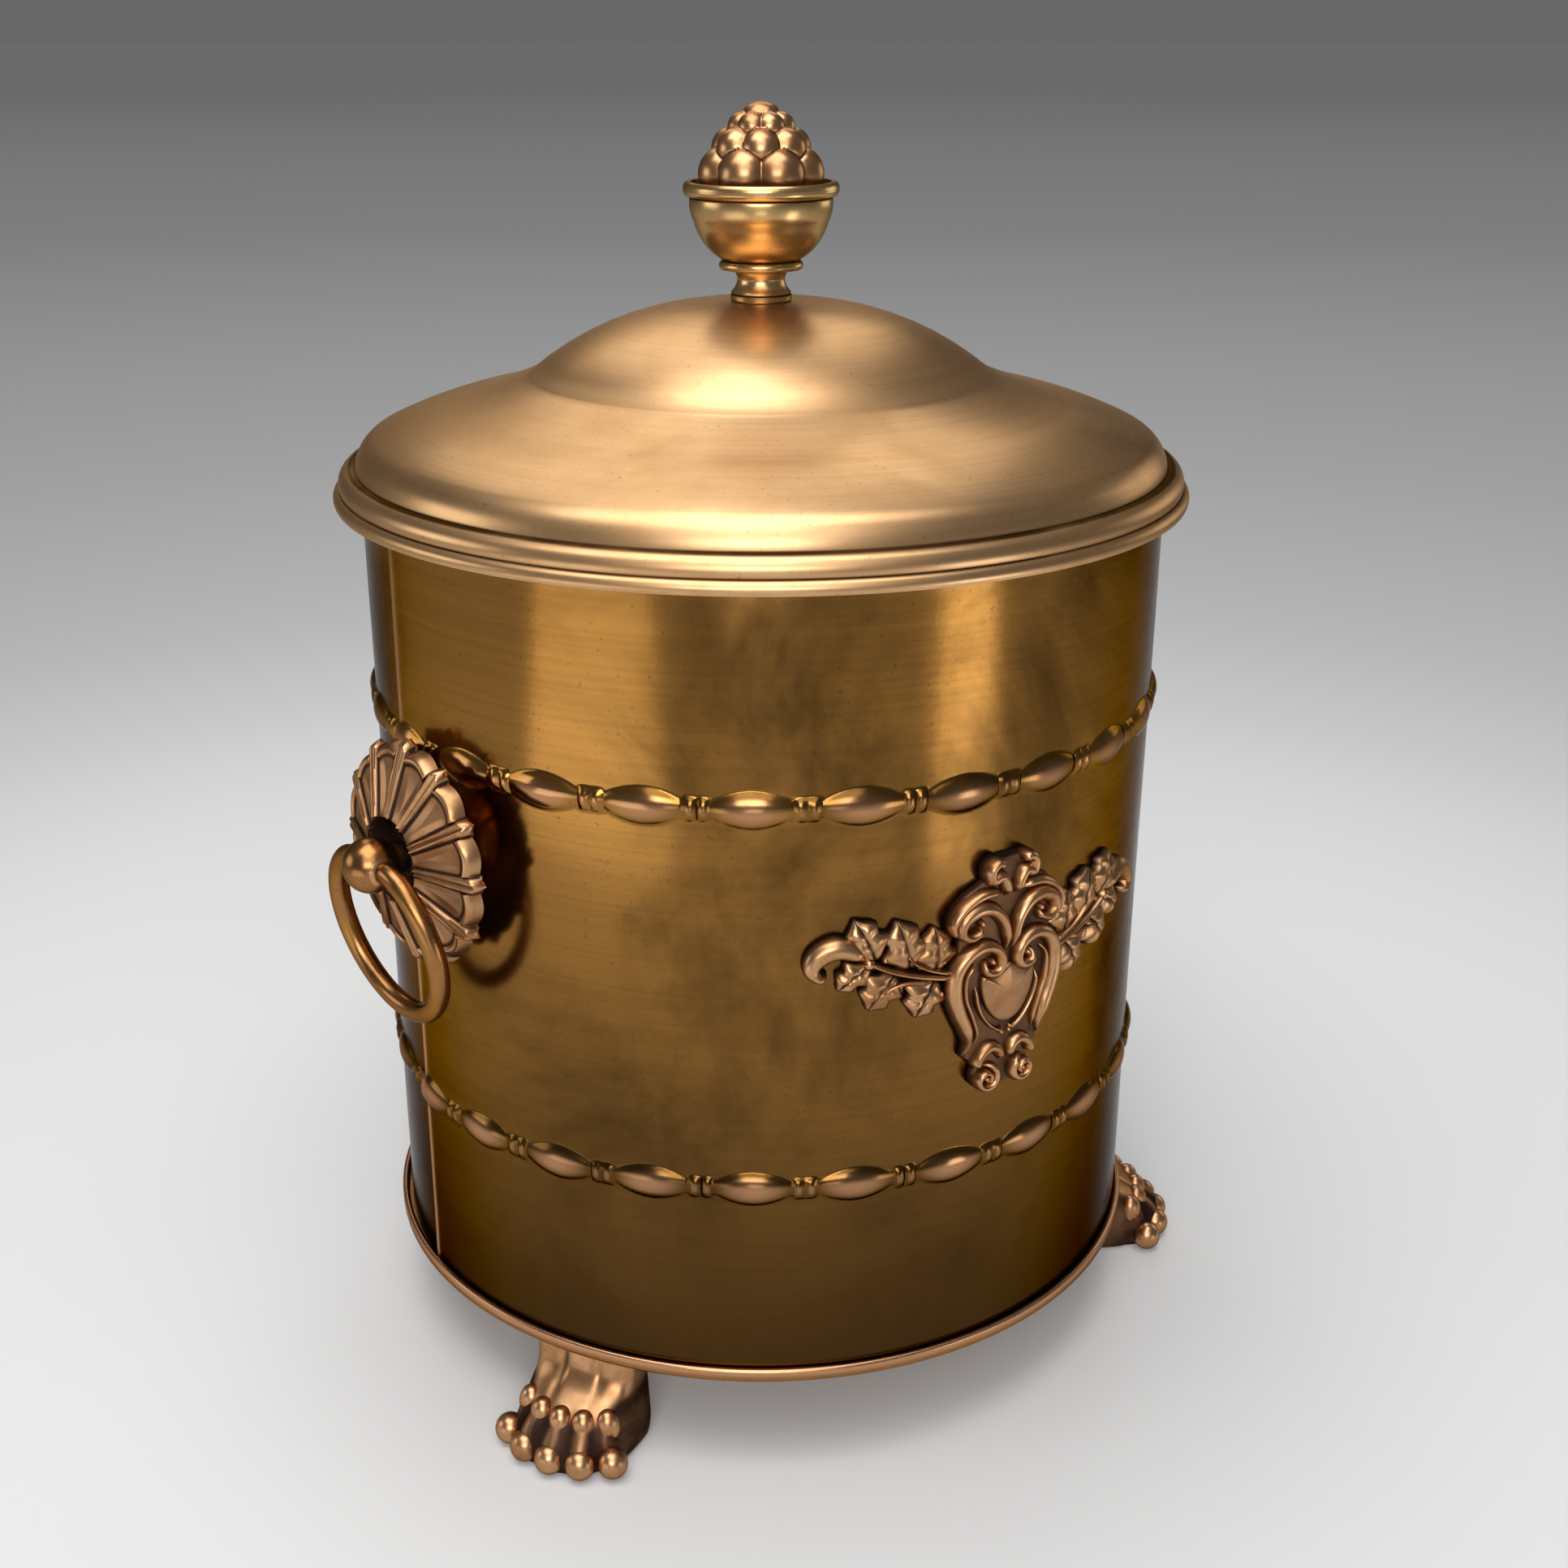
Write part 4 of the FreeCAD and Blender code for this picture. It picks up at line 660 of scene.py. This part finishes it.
def knob(middle, radius, top, side):
    """A half round boss: its rise follows the cosine, and its reach the sine, of the way down its side."""
    turn = np.linspace(0, 2 * np.pi, 28, endpoint=False)[None, :]
    tilt = np.linspace(0, np.pi / 2, 9)[:, None]
    x, y, rise = np.moveaxis(polar(radius * np.sin(tilt), turn, top * np.cos(tilt) ** 0.8), -1, 0)
    return on_wall((middle[0] + x) * side, middle[1] + y, rise), unit(1 - rise / top), False, True


def coil(middle, outer, inner, start, sweep):
    """Corners of a spiral from an outer to an inner radius about a point."""
    turn = np.radians(np.linspace(start, start + sweep, 16))
    radius = np.linspace(outer, inner, 16)
    return np.stack([middle[0] + radius * np.cos(turn), middle[1] + radius * np.sin(turn)], -1)


# Right half of the crest, in millimetres from its middle: scrolls as (corners, half widths along them, rise)
SCROLLS = (
    # Main C scroll with its inner volute
    ([(16.8, -23.2), (14.9, -18.0), (16.4, -11.5), (19.2, -5.0), (21.2, 2.0), (20.9, 9.5), (17.0, 15.2),
      (11.0, 17.6), (5.6, 15.6), (3.4, 11.0), (5.4, 7.6), (9.2, 8.0), (10.0, 11.2), (7.6, 12.2)],
     (1.4, 2.8, 3.2, 2.9, 2.4, 1.6), 6.8),
    # Inner edge of the same scroll
    ([(12.6, -20.0), (12.2, -14.0), (14.4, -7.0), (17.0, 0.0), (17.0, 7.5), (13.6, 12.6)],
     (0.8, 1.1, 0.7), 5.2),
    # Upper scroll that rolls over to the outside
    ([(1.4, 12.4), (1.7, 19.0), (3.2, 25.0), (7.4, 30.0), (13.2, 31.4), (18.6, 28.8), (19.8, 24.6),
      (16.6, 22.2), (12.8, 23.8), (12.6, 26.8)], (1.2, 2.0, 2.8, 3.2, 2.2, 1.4), 6.9),
    # Outer edge over it
    ([(3.0, 35.0), (8.0, 36.4), (14.0, 35.6), (19.6, 32.2), (22.8, 27.6), (21.6, 22.6)],
     (1.6, 2.1, 2.0, 1.2), 6.2),
    # Top curl up to the knob
    ([(2.2, 33.2), (2.6, 37.6), (5.0, 41.6), (8.4, 41.0), (9.0, 44.6), (6.4, 46.6), (4.0, 44.8)],
     (1.8, 2.4, 2.6, 2.2, 2.0), 6.6),
    # Neck of the foot volute
    ([(1.6, -27.5), (2.8, -22.6), (6.6, -20.8), (10.4, -23.4), (12.0, -27.6)], (1.4, 2.4, 2.4, 1.8), 6.2),
    # Thin frame round the shield
    ([(12.8, 4.0), (12.6, -1.6), (10.4, -7.6), (6.4, -12.8), (2.6, -15.2), (1.4, -13.6)],
     (0.8, 0.95, 0.9, 1.0), 5.0),
    # Stems of the spray
    ([(21.0, 9.8), (29.0, 12.4), (35.0, 15.6), (38.6, 19.6)], (1.0, 0.9, 0.6), 4.6),
    ([(30.0, 8.6), (38.0, 9.6), (43.6, 8.6), (46.4, 6.0)], (0.9, 0.8, 0.6), 4.6),
    ([(19.5, 7.8), (28.0, 9.6), (36.5, 11.8), (44.0, 14.6), (51.5, 18.6)], (1.3, 1.2, 0.9), 4.4),
)
# Rolled tip of the spray, as corners and half widths
SPRAY_TIP = (
    [(51.0, 18.6), (56.0, 22.8), (61.5, 24.0), (66.4, 21.2), (68.2, 17.2), (66.0, 14.4), (63.4, 15.4)],
    (1.6, 3.2, 4.2, 3.8, 2.6, 1.6))
# Leaves as (stalk, tip, width, bow), three above the stem and three below
LEAVES = (
    ((28.0, 11.0), (28.6, 27.6), 16.5, 0.6), ((37.0, 13.6), (41.8, 31.6), 17.5, 0.6),
    ((48.4, 18.0), (55.6, 33.4), 15.5, 0.6), ((50.2, 17.2), (60.6, 8.6), 12.0, 0.8),
    ((41.8, 12.8), (51.0, 0.4), 16.0, 0.8), ((27.8, 8.8), (34.8, -4.8), 17.0, 0.8),
)
# Berries and the eyes of the scrolls as (middle, radius, rise)
BERRIES = (
    ((50.8, 18.0), 2.3, 5.2), ((33.4, 14.2), 1.3, 3.8), ((45.4, 18.4), 1.3, 3.8), ((25.0, 14.6), 1.3, 3.8),
    ((40.0, 8.4), 1.3, 3.6), ((25.6, 3.0), 1.4, 3.8), ((1.6, -16.4), 1.2, 4.8), ((12.4, 26.6), 1.5, 6.6),
    ((7.4, 11.6), 1.6, 6.4),
)
# Half outline of the ground plate, from its foot up, and of the shield
PLATE_EDGE = (
    (8.0, -37.6), (12.4, -34.5), (12.6, -29.5), (10.5, -26.0), (16.3, -23.8), (15.6, -18.6), (16.6, -12.4),
    (19.5, -5.5), (22.3, 2.8), (23.0, 9.0), (20.6, 15.2), (20.0, 21.4), (23.6, 27.0), (23.2, 31.7),
    (17.8, 36.9), (10.3, 40.4), (9.6, 46.0), (6.9, 48.4))
SHIELD_EDGE = (
    (0, -12.6), (4.6, -10.8), (8.8, -5.6), (11.0, 0.6), (11.2, 6.6), (8.6, 6.0), (5.4, 6.8), (0, 9.8))


def ground_plate():
    """The crest's plate: its half width at each height is read off the outline, and its edge is rounded."""
    thick, low, high, side_fall, end_fall = 2.9, -37.4, 48.2, 1.2, 1.0
    edge = np.array(PLATE_EDGE)
    rows = np.linspace(low, high, 90)[:, None]
    half = np.interp(rows, edge[:, 1], edge[:, 0])
    over = np.sin(np.linspace(-np.pi / 2, np.pi / 2, 41))[None, :]
    rise = thick * unit((1 - np.abs(over)) * half / side_fall) ** 0.5
    rise = rise * unit((rows - low) / end_fall) * unit((high - rows) / end_fall)
    return on_wall(half * over, rows + 0 * over, rise), unit(1.0 - 0.1 * rise), False, False


def shield():
    """The blank shield: its outline drawn in towards the middle in rings, each ring higher than the last."""
    middle_height, face_dirt, edge_dirt, edge_from, edge_rate = -0.5, 0.44, 0.9, 0.9, 7
    right = smooth_path(SHIELD_EDGE, 40)
    loop = np.concatenate([right, right[::-1][1:-1] * [-1, 1]])
    share = np.array([0, 0.3, 0.6, 0.85, 0.94, 0.985, 1.0])[:, None]
    rise = np.array([6.0, 5.95, 5.7, 5.35, 5.0, 4.2, 2.6])[:, None] + 0 * loop[None, :, 0]
    x = loop[None, :, 0] * share
    y = middle_height + (loop[None, :, 1] - middle_height) * share
    return on_wall(x, y, rise), np.clip((share - edge_from) * edge_rate, face_dirt, edge_dirt), False, True


def crest():
    """The cartouche: ground plate, shield with its frame, scrolls, volutes, stems, leaves and berries."""
    sunk, tip_sunk, tip_rise, volute_rise = 0.6, 0.4, 5.6, 6.6
    volute, eye_radius, eye_rise = (7.8, -32.2), 1.5, 6.4
    spiral = coil(volute, 4.9, 0.8, 75, 600)
    grids = [ground_plate(), shield()]
    for side in (-1, 1):
        for corners, widths, rise in SCROLLS:
            grids.append(stroke(corners, widths, rise, sunk, side, 6 * len(corners) + 10))
        grids.append(stroke(spiral, (1.6, 1.9, 1.5, 1.0), volute_rise, sunk, side, 80))
        grids.append(knob(volute, eye_radius, eye_rise, side))
        for stalk, tip, width, bow in LEAVES:
            grids.append(leaf(stalk, tip, width, side, bow))
        grids.append(stroke(*SPRAY_TIP, tip_rise, tip_sunk, side, 50))
        for middle, radius, rise in BERRIES:
            grids.append(knob(middle, radius, rise, side))
    return grids


def ball_reach(angle, height, distance, level, radius):
    """Reach of a sphere's far side from an upright axis, by angle and height; nought where it is missed."""
    away = np.radians(angle)
    slice_radius = np.sqrt(np.clip(radius ** 2 - (height - level) ** 2, 0, None))
    inside = slice_radius ** 2 - (distance * np.sin(away)) ** 2
    reach = distance * np.cos(away) + np.sqrt(np.clip(inside, 0, None))
    return np.where((inside > 0) & (np.cos(away) > 0), reach, 0)


def bud():
    """The bud in the cup: a radius for each angle and height.

    It is the largest of a plain bud, three rows of seven scales, each a sphere seen from the axis, and a
    smooth cap, less a crease where two of them meet.
    """
    core_radius, core_height, cap_low, tip = 15.5, 32.2, 30.0, 32.0
    cap_radius, cap_level, cap_half = 6.7, 27.3, 4.7
    crease_width, crease_depth, crease_top, widest = 0.5, 0.45, 29.0, 23.4
    cap_rows = cap_low + (tip - cap_low) * np.sin(np.linspace(0.1, np.pi / 2, 12))
    height = np.concatenate([np.linspace(0, cap_low, 90), cap_rows])[:, None]
    angle = np.linspace(0, 360, 360, endpoint=False)[None, :]
    layers = [core_radius * unit(1 - height / core_height) ** 0.62 + 0 * angle]
    pitch = 360 / 7
    # A scale of the middle row faces the front left
    for level, distance, radius, shift in (
            (8.4, 12.8, 9.3, 0.1), (16.6, 10.2, 7.3, 0.6), (23.6, 6.5, 5.2, 0.1)):
        nearest = ((angle / pitch - shift + 0.5) % 1 - 0.5) * pitch
        layers.append(ball_reach(nearest, height, distance, level, radius))
    layers.append(cap_radius * np.sqrt(unit(1 - ((height - cap_level) / cap_half) ** 2)) + 0 * angle)
    second, best = np.sort(layers, axis=0)[-2:]
    crease = bell(best - second, crease_width) * (height < crease_top)
    reach = np.minimum(best - crease_depth * crease, widest) * (height < tip - 0.01)
    skin = polar(reach, np.radians(angle), height)
    under = np.stack([np.zeros_like(skin[0]), skin[0]])
    return [(skin, unit(0.95 * crease + 0.05), False, True), (under, 1.0, False, True)]


def cup_section():
    """The finial's turned foot, waist, ring, bowl and rim, as (radius, height above the lid)."""
    foot, seat = 0.05, 34.7
    return profile([
        (ROD_HOLE, foot), (10.2, foot, 0.7), (10.8, 0.8), (10.8, 2.2), (10.4, 2.5), (10.6, 3.0),
        (10.2, 3.6, -6.2), (8.4, 7.6, -6.0), (9.6, 10.4), (13.8, 10.9, 1.4), (14.8, 12.4, 1.5),
        (13.2, 13.9, 20.5), (23.6, 27.0, 14.0), (25.0, 34.8), (24.8, 35.2), (26.0, 35.6, 2.4),
        (27.2, 38.0, 2.6), (26.2, 40.4), (24.4, 40.4), (24.3, seat), (ROD_HOLE, seat)])


# Operators


class Maker:
    """Shared by the operators: each can be undone."""
    bl_options = {"REGISTER", "UNDO"}


class COALBIN_OT_drum(Maker, bpy.types.Operator):
    """Two embossed half sheets and the base pan"""
    bl_idname = "coal_bin.drum"
    bl_label = "Drum"

    def execute(self, context):
        sizes = context.scene.coal_bin_sizes
        wall("front_sheet", sizes, "front_wall_sheet", first=178.0, last=362.0, clamp=0.0, jog=0.0)
        wall("rear_sheet", sizes, "rear_wall_sheet", first=-1.6, last=181.6, clamp=3.8, jog=REAR_STEP)
        low, round_edge, rim_top = sizes.base_height, 1.3, 3.7
        highlight_height, highlight_width, rim_highlight, wall_side = 4.2, 1.2, 1.2, 0.5
        inner = sizes.drum_radius + FIT_GAP
        outer = inner + 2 * round_edge
        section = profile([
            (0, low), (outer - round_edge, low, round_edge), (outer, low + round_edge),
            (outer, low + rim_top, round_edge), (inner, low + rim_top), (inner, low + PAN_GAUGE),
            (0, low + PAN_GAUGE)])
        # Painted highlight: a bright line of the worn colour along the rim's top edge
        wear = -rim_highlight * near(section[:, 1:], (low + highlight_height,), highlight_width)
        grid = (lathe(section, 300), wear * (section[:, :1] > inner + wall_side), True, True)
        piece("base_pan_spun", [grid], finish("rod_brass_rubbed"), "drum", ["base_pan"])
        return {"FINISHED"}


class COALBIN_OT_feet(Maker, bpy.types.Operator):
    """Three cast lion paws"""
    bl_idname = "coal_bin.feet"
    bl_label = "Paw feet"

    def execute(self, context):
        grids = paw()
        for label, turn in (("front_left_foot", 210), ("front_right_foot", 330), ("rear_foot", 90)):
            where = math.radians(turn)
            shift = (PAW_CIRCLE * math.cos(where), PAW_CIRCLE * math.sin(where), 0)
            placed = [(turned(grid, turn, shift), *rest) for grid, *rest in grids]
            piece(label + "_cast", placed, finish("cast_brass_waxed"), "drum", [label], 70)
        return {"FINISHED"}


class COALBIN_OT_handles(Maker, bpy.types.Operator):
    """Rosettes, ball posts and the swinging rings"""
    bl_idname = "coal_bin.handles"
    bl_label = "Ring handles"

    def execute(self, context):
        collar_steps, step_width, ball_from = (11.0, 13.5, 16.5), 1.6, 18.0
        hole_edge, hole_highlight, hole_width, ring_dirt, ring_lean = 4.5, 1.6, 0.5, 0.12, 10.0
        past_seam, wall_radius = 7.5, context.scene.coal_bin_sizes.drum_radius
        dish, post, rod = rosette(), lathe(ball_post_section(), 96), ring()
        out = post[..., 2]
        to_hole = np.hypot(post[..., 1], out - BALL_OUT)
        dirt = unit(near(out, collar_steps, step_width))
        # Painted highlight: a bright ring of the worn colour round the edge of the hole
        dirt = dirt - hole_highlight * bell(to_hole - hole_edge, hole_width) * (out > ball_from)
        # The left handle stands on the front sheet, and the right one on the rear sheet, which lies lower
        for side, azimuth, reach in (
                ("left", 180 + past_seam, wall_radius), ("right", past_seam, wall_radius - REAR_STEP)):
            placed = [(on_handle(grid, azimuth, reach), *rest) for grid, *rest in dish]
            piece(f"{side}_rosette_cast", placed, finish("cast_brass_waxed"), "drum",
                  [f"{side}_rosette"], 50)
            piece(f"{side}_ball_turned", [(on_handle(post, azimuth, reach), dirt, False, True)],
                  finish("rod_brass_rubbed"), "drum", [f"{side}_ball_post"])
            hung = on_handle(rod, azimuth, reach, ring_lean, BALL_OUT)
            piece(f"{side}_ring_bent", [(hung, ring_dirt, True, True)],
                  finish("rod_brass_rubbed"), f"{side}_ring", [f"{side}_ring"])
        return {"FINISHED"}


class COALBIN_OT_crest(Maker, bpy.types.Operator):
    """The cast cartouche with its blank shield"""
    bl_idname = "coal_bin.crest"
    bl_label = "Crest"

    def execute(self, context):
        piece("crest_cast", crest(), finish("cast_brass_waxed"), "drum", ["crest_plaque"], 60)
        return {"FINISHED"}


class COALBIN_OT_lid(Maker, bpy.types.Operator):
    """The spun lid and its locating collar"""
    bl_idname = "coal_bin.lid"
    bl_label = "Lid"

    def execute(self, context):
        lip_quirks, lip_dirt, lip_width = (11.4, 4.7), 0.9, 0.45
        dome_quirks, dome_dirt, dome_width = (40.9,), 0.55, 0.35
        collar_in, collar_out, collar_low, collar_high = 140.6, 141.8, -10.0, 15.8
        lift = context.scene.coal_bin_sizes.lid_height
        section = lid_section()
        dirt = (lip_dirt * near(section[:, 1:], lip_quirks, lip_width)
                + dome_dirt * near(section[:, 1:], dome_quirks, dome_width))
        piece("lid_spun", [(lathe(section, 300, lift), dirt, True, True)], finish("spun_brass_lapped"),
              "lid", ["lid_shell"], 30)
        collar = np.array([(collar_in, collar_low), (collar_out, collar_low),
                           (collar_out, collar_high), (collar_in, collar_high)])
        piece("lid_collar_rolled", [(lathe(collar, 240, lift), 0.2, True, True)],
              finish("sheet_brass_tarnished"), "lid", ["lid_collar"])
        return {"FINISHED"}


class COALBIN_OT_finial(Maker, bpy.types.Operator):
    """The turned cup and the cast bud in it"""
    bl_idname = "coal_bin.finial"
    bl_label = "Finial"

    def execute(self, context):
        quirks, quirk_width, bud_seat = (2.5, 14.2, 35.2), 0.5, 34.6
        crown = context.scene.coal_bin_sizes.lid_height + CROWN_HEIGHT
        section = cup_section()
        dirt = near(section[:, 1:], quirks, quirk_width)
        piece("cup_turned", [(lathe(section, 160, crown), dirt, True, True)], finish("turned_brass"), "lid",
              ["finial_cup"], 35)
        placed = [(grid + np.array([0, 0, crown + bud_seat]), *rest) for grid, *rest in bud()]
        piece("bud_cast", placed, finish("cast_brass_waxed"), "lid", ["finial_cone"], 80)
        return {"FINISHED"}


class COALBIN_OT_fixings(Maker, bpy.types.Operator):
    """Screws, washers, nuts, rivets and wire keep their frame shapes and get a brass finish"""
    bl_idname = "coal_bin.fixings"
    bl_label = "Fixings"

    def execute(self, context):
        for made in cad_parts.values():
            if not made.hide_render:
                made.data.materials.clear()
                made.data.materials.append(finish("turned_brass"))
        return {"FINISHED"}


# Lamps as (name, place, the point that they face, width, height, watts), in metres
BOXES = (
    ("top_box", (-0.30, -0.10, 2.0), (0, 0, 0.2), 1.6, 1.6, 30),
    ("rear_box", (0.56, 1.06, 1.45), (0, 0, 0.38), 1.35, 0.9, 6.8),
    ("front_top_box", (-0.75, -1.10, 1.65), (0, 0, 0.3), 1.5, 0.9, 8),
    ("front_box", (-0.95, -1.30, 0.85), (0, 0, 0.3), 0.9, 0.6, 11),
)
# Cards show in the metal and leave the paper alone
CARDS = (
    ("left_tall_card", (-1.39, 0.80, 0.55), (0, 0, 0.33), 0.8, 0.6, 2.8),
    ("right_tall_card", (1.60, 0.07, 0.55), (0, 0, 0.33), 0.8, 0.6, 1.8),
    ("left_low_card", (-0.68, -0.16, 0.02), (-0.45, -0.10, 0.4), 0.50, 0.6, 1.0),
    ("right_low_card", (0.22, -0.64, 0.02), (0.14, -0.43, 0.4), 0.22, 0.6, 1.0),
    ("middle_low_card", (-0.57, -0.86, 0.02), (-0.35, -0.53, 0.4), 0.30, 0.5, 0.6),
)
# The greys that the paper glows with, a painted falloff of light, by the share of the way out, counted in
# doublings of the distance from the bin
PAPER_NEAR, PAPER_FAR, PAPER_LIT = "#EDEDED", "#686868", "#D2D2D2"
PAPER_BETWEEN = ((0.143, "#DADADA"), (0.247, "#BFBFBF"), (0.443, "#A0A0A0"), (0.696, "#7E7E7E"))


def lamp(name, place, aim, width, height, power, card):
    """A soft box, or a card, that faces a point."""
    data = bpy.data.lights.new(name, "AREA")
    data.shape = "RECTANGLE"
    data.size, data.size_y = width, height
    data.energy = power
    made = bpy.data.objects.new(name, data)
    made.location = place
    made.rotation_euler = (Vector(aim) - Vector(place)).to_track_quat("-Z", "Y").to_euler()
    made.visible_camera = False
    made.visible_diffuse = not card
    bpy.context.scene.collection.objects.link(made)


def paper():
    """Matt paper: the lamps light it near the bin, where a faint painted glow adds to them, and further out
    it glows with greys of its own that darken to the back, a painted falloff of light.
    """
    near_doublings, far_doublings, lit_from, lit_to, painted_glow = -1.8, 3.8, 0.30, 1.1, 0.08
    material = bpy.data.materials.new("paper_floor_matt")
    material.use_nodes = True
    tree = material.node_tree
    surface = tree.nodes["Principled BSDF"].inputs
    surface["Roughness"].default_value = 0.9
    surface["Specular IOR Level"].default_value = 0.1
    surface["Emission Strength"].default_value = 1.0
    away = node(tree, "VectorMath", (node(tree, "TexCoord", out="Object"),), "Value", operation="LENGTH")
    doublings = node(tree, "Math", (away, 2.0), operation="LOGARITHM")
    share = node(tree, "MapRange", (doublings, near_doublings, far_doublings))
    fade = node(tree, "ValToRGB", (share,))
    stops = fade.node.color_ramp.elements
    stops[0].position, stops[0].color = 0.0, srgb(PAPER_NEAR)
    stops[1].position, stops[1].color = 1.0, srgb(PAPER_FAR)
    for spot, code in PAPER_BETWEEN:
        stops.new(spot).color = srgb(code)
    far = node(tree, "MapRange", (away, lit_from, lit_to), **STEP)
    black, glow = (0, 0, 0, 1), (painted_glow, painted_glow, painted_glow, 1)
    tree.links.new(node(tree, "Mix", {0: far, 6: srgb(PAPER_LIT), 7: black}, **BLEND), surface["Base Color"])
    tree.links.new(node(tree, "Mix", {0: far, 6: glow, 7: fade}, **BLEND), surface["Emission Color"])
    return material


class COALBIN_OT_stage(Maker, bpy.types.Operator):
    """Floor, soft boxes and camera"""
    bl_idname = "coal_bin.stage"
    bl_label = "Stage"

    def execute(self, context):
        lens, shift, tilt_down, turn_right = 45.79, (0.0145, 0.0176), 21.77, 33.5
        camera_place = (-0.3984, -0.6020, 0.4808)
        scene = context.scene
        turn = np.linspace(0, 2 * np.pi, 96, endpoint=False)
        reach = np.array([0.0, 0.3, 0.8, 2.0, 5.0, 12.0, 40.0])[:, None]
        faces = grid_faces(len(reach), len(turn), False, True, 0)[:, ::-1]
        mesh = bpy.data.meshes.new("floor")
        mesh.from_pydata(polar(reach, turn, 0.0).reshape(-1, 3).tolist(), [], faces.tolist())
        mesh.materials.append(paper())
        floor = bpy.data.objects.new("floor", mesh)
        scene.collection.objects.link(floor)
        world = bpy.data.worlds.new("studio")
        world.use_nodes = True
        world.node_tree.nodes["Background"].inputs["Color"].default_value = srgb(PAPER_FAR)
        scene.world = world
        for values in BOXES:
            lamp(*values, card=False)
        for values in CARDS:
            lamp(*values, card=True)
        data = bpy.data.cameras.new("camera")
        data.sensor_width = 36.0
        data.lens = lens
        data.shift_x, data.shift_y = shift
        camera = bpy.data.objects.new("camera", data)
        camera.location = camera_place
        camera.rotation_euler = (math.radians(90 - tilt_down), 0, math.radians(-turn_right))
        scene.collection.objects.link(camera)
        scene.camera = camera
        scene.view_settings.view_transform = "Standard"
        return {"FINISHED"}


class COALBIN_PT_panel(bpy.types.Panel):
    """Sidebar panel with the coal bin's sizes, colours and pieces"""
    bl_label = "Coal bin"
    bl_idname = "COALBIN_PT_panel"
    bl_space_type = "VIEW_3D"
    bl_region_type = "UI"
    bl_category = "Coal bin"

    def draw(self, context):
        for group in (context.scene.coal_bin_sizes, context.scene.coal_bin_colours):
            for name in group.__annotations__:
                self.layout.prop(group, name)
        for maker in MAKERS:
            self.layout.operator(maker.bl_idname)


MAKERS = (COALBIN_OT_drum, COALBIN_OT_feet, COALBIN_OT_handles, COALBIN_OT_crest, COALBIN_OT_lid,
          COALBIN_OT_finial, COALBIN_OT_fixings, COALBIN_OT_stage)
CLASSES = (CoalBinSizes, CoalBinColours, *MAKERS, COALBIN_PT_panel)


def register():
    for item in CLASSES:
        bpy.utils.register_class(item)
    bpy.types.Scene.coal_bin_sizes = bpy.props.PointerProperty(type=CoalBinSizes)
    bpy.types.Scene.coal_bin_colours = bpy.props.PointerProperty(type=CoalBinColours)


def unregister():
    del bpy.types.Scene.coal_bin_colours
    del bpy.types.Scene.coal_bin_sizes
    for item in reversed(CLASSES):
        bpy.utils.unregister_class(item)


def main():
    """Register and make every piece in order."""
    register()
    for maker in MAKERS:
        group, name = maker.bl_idname.split(".")
        getattr(getattr(bpy.ops, group), name)()


if __name__ == "__main__":
    main()
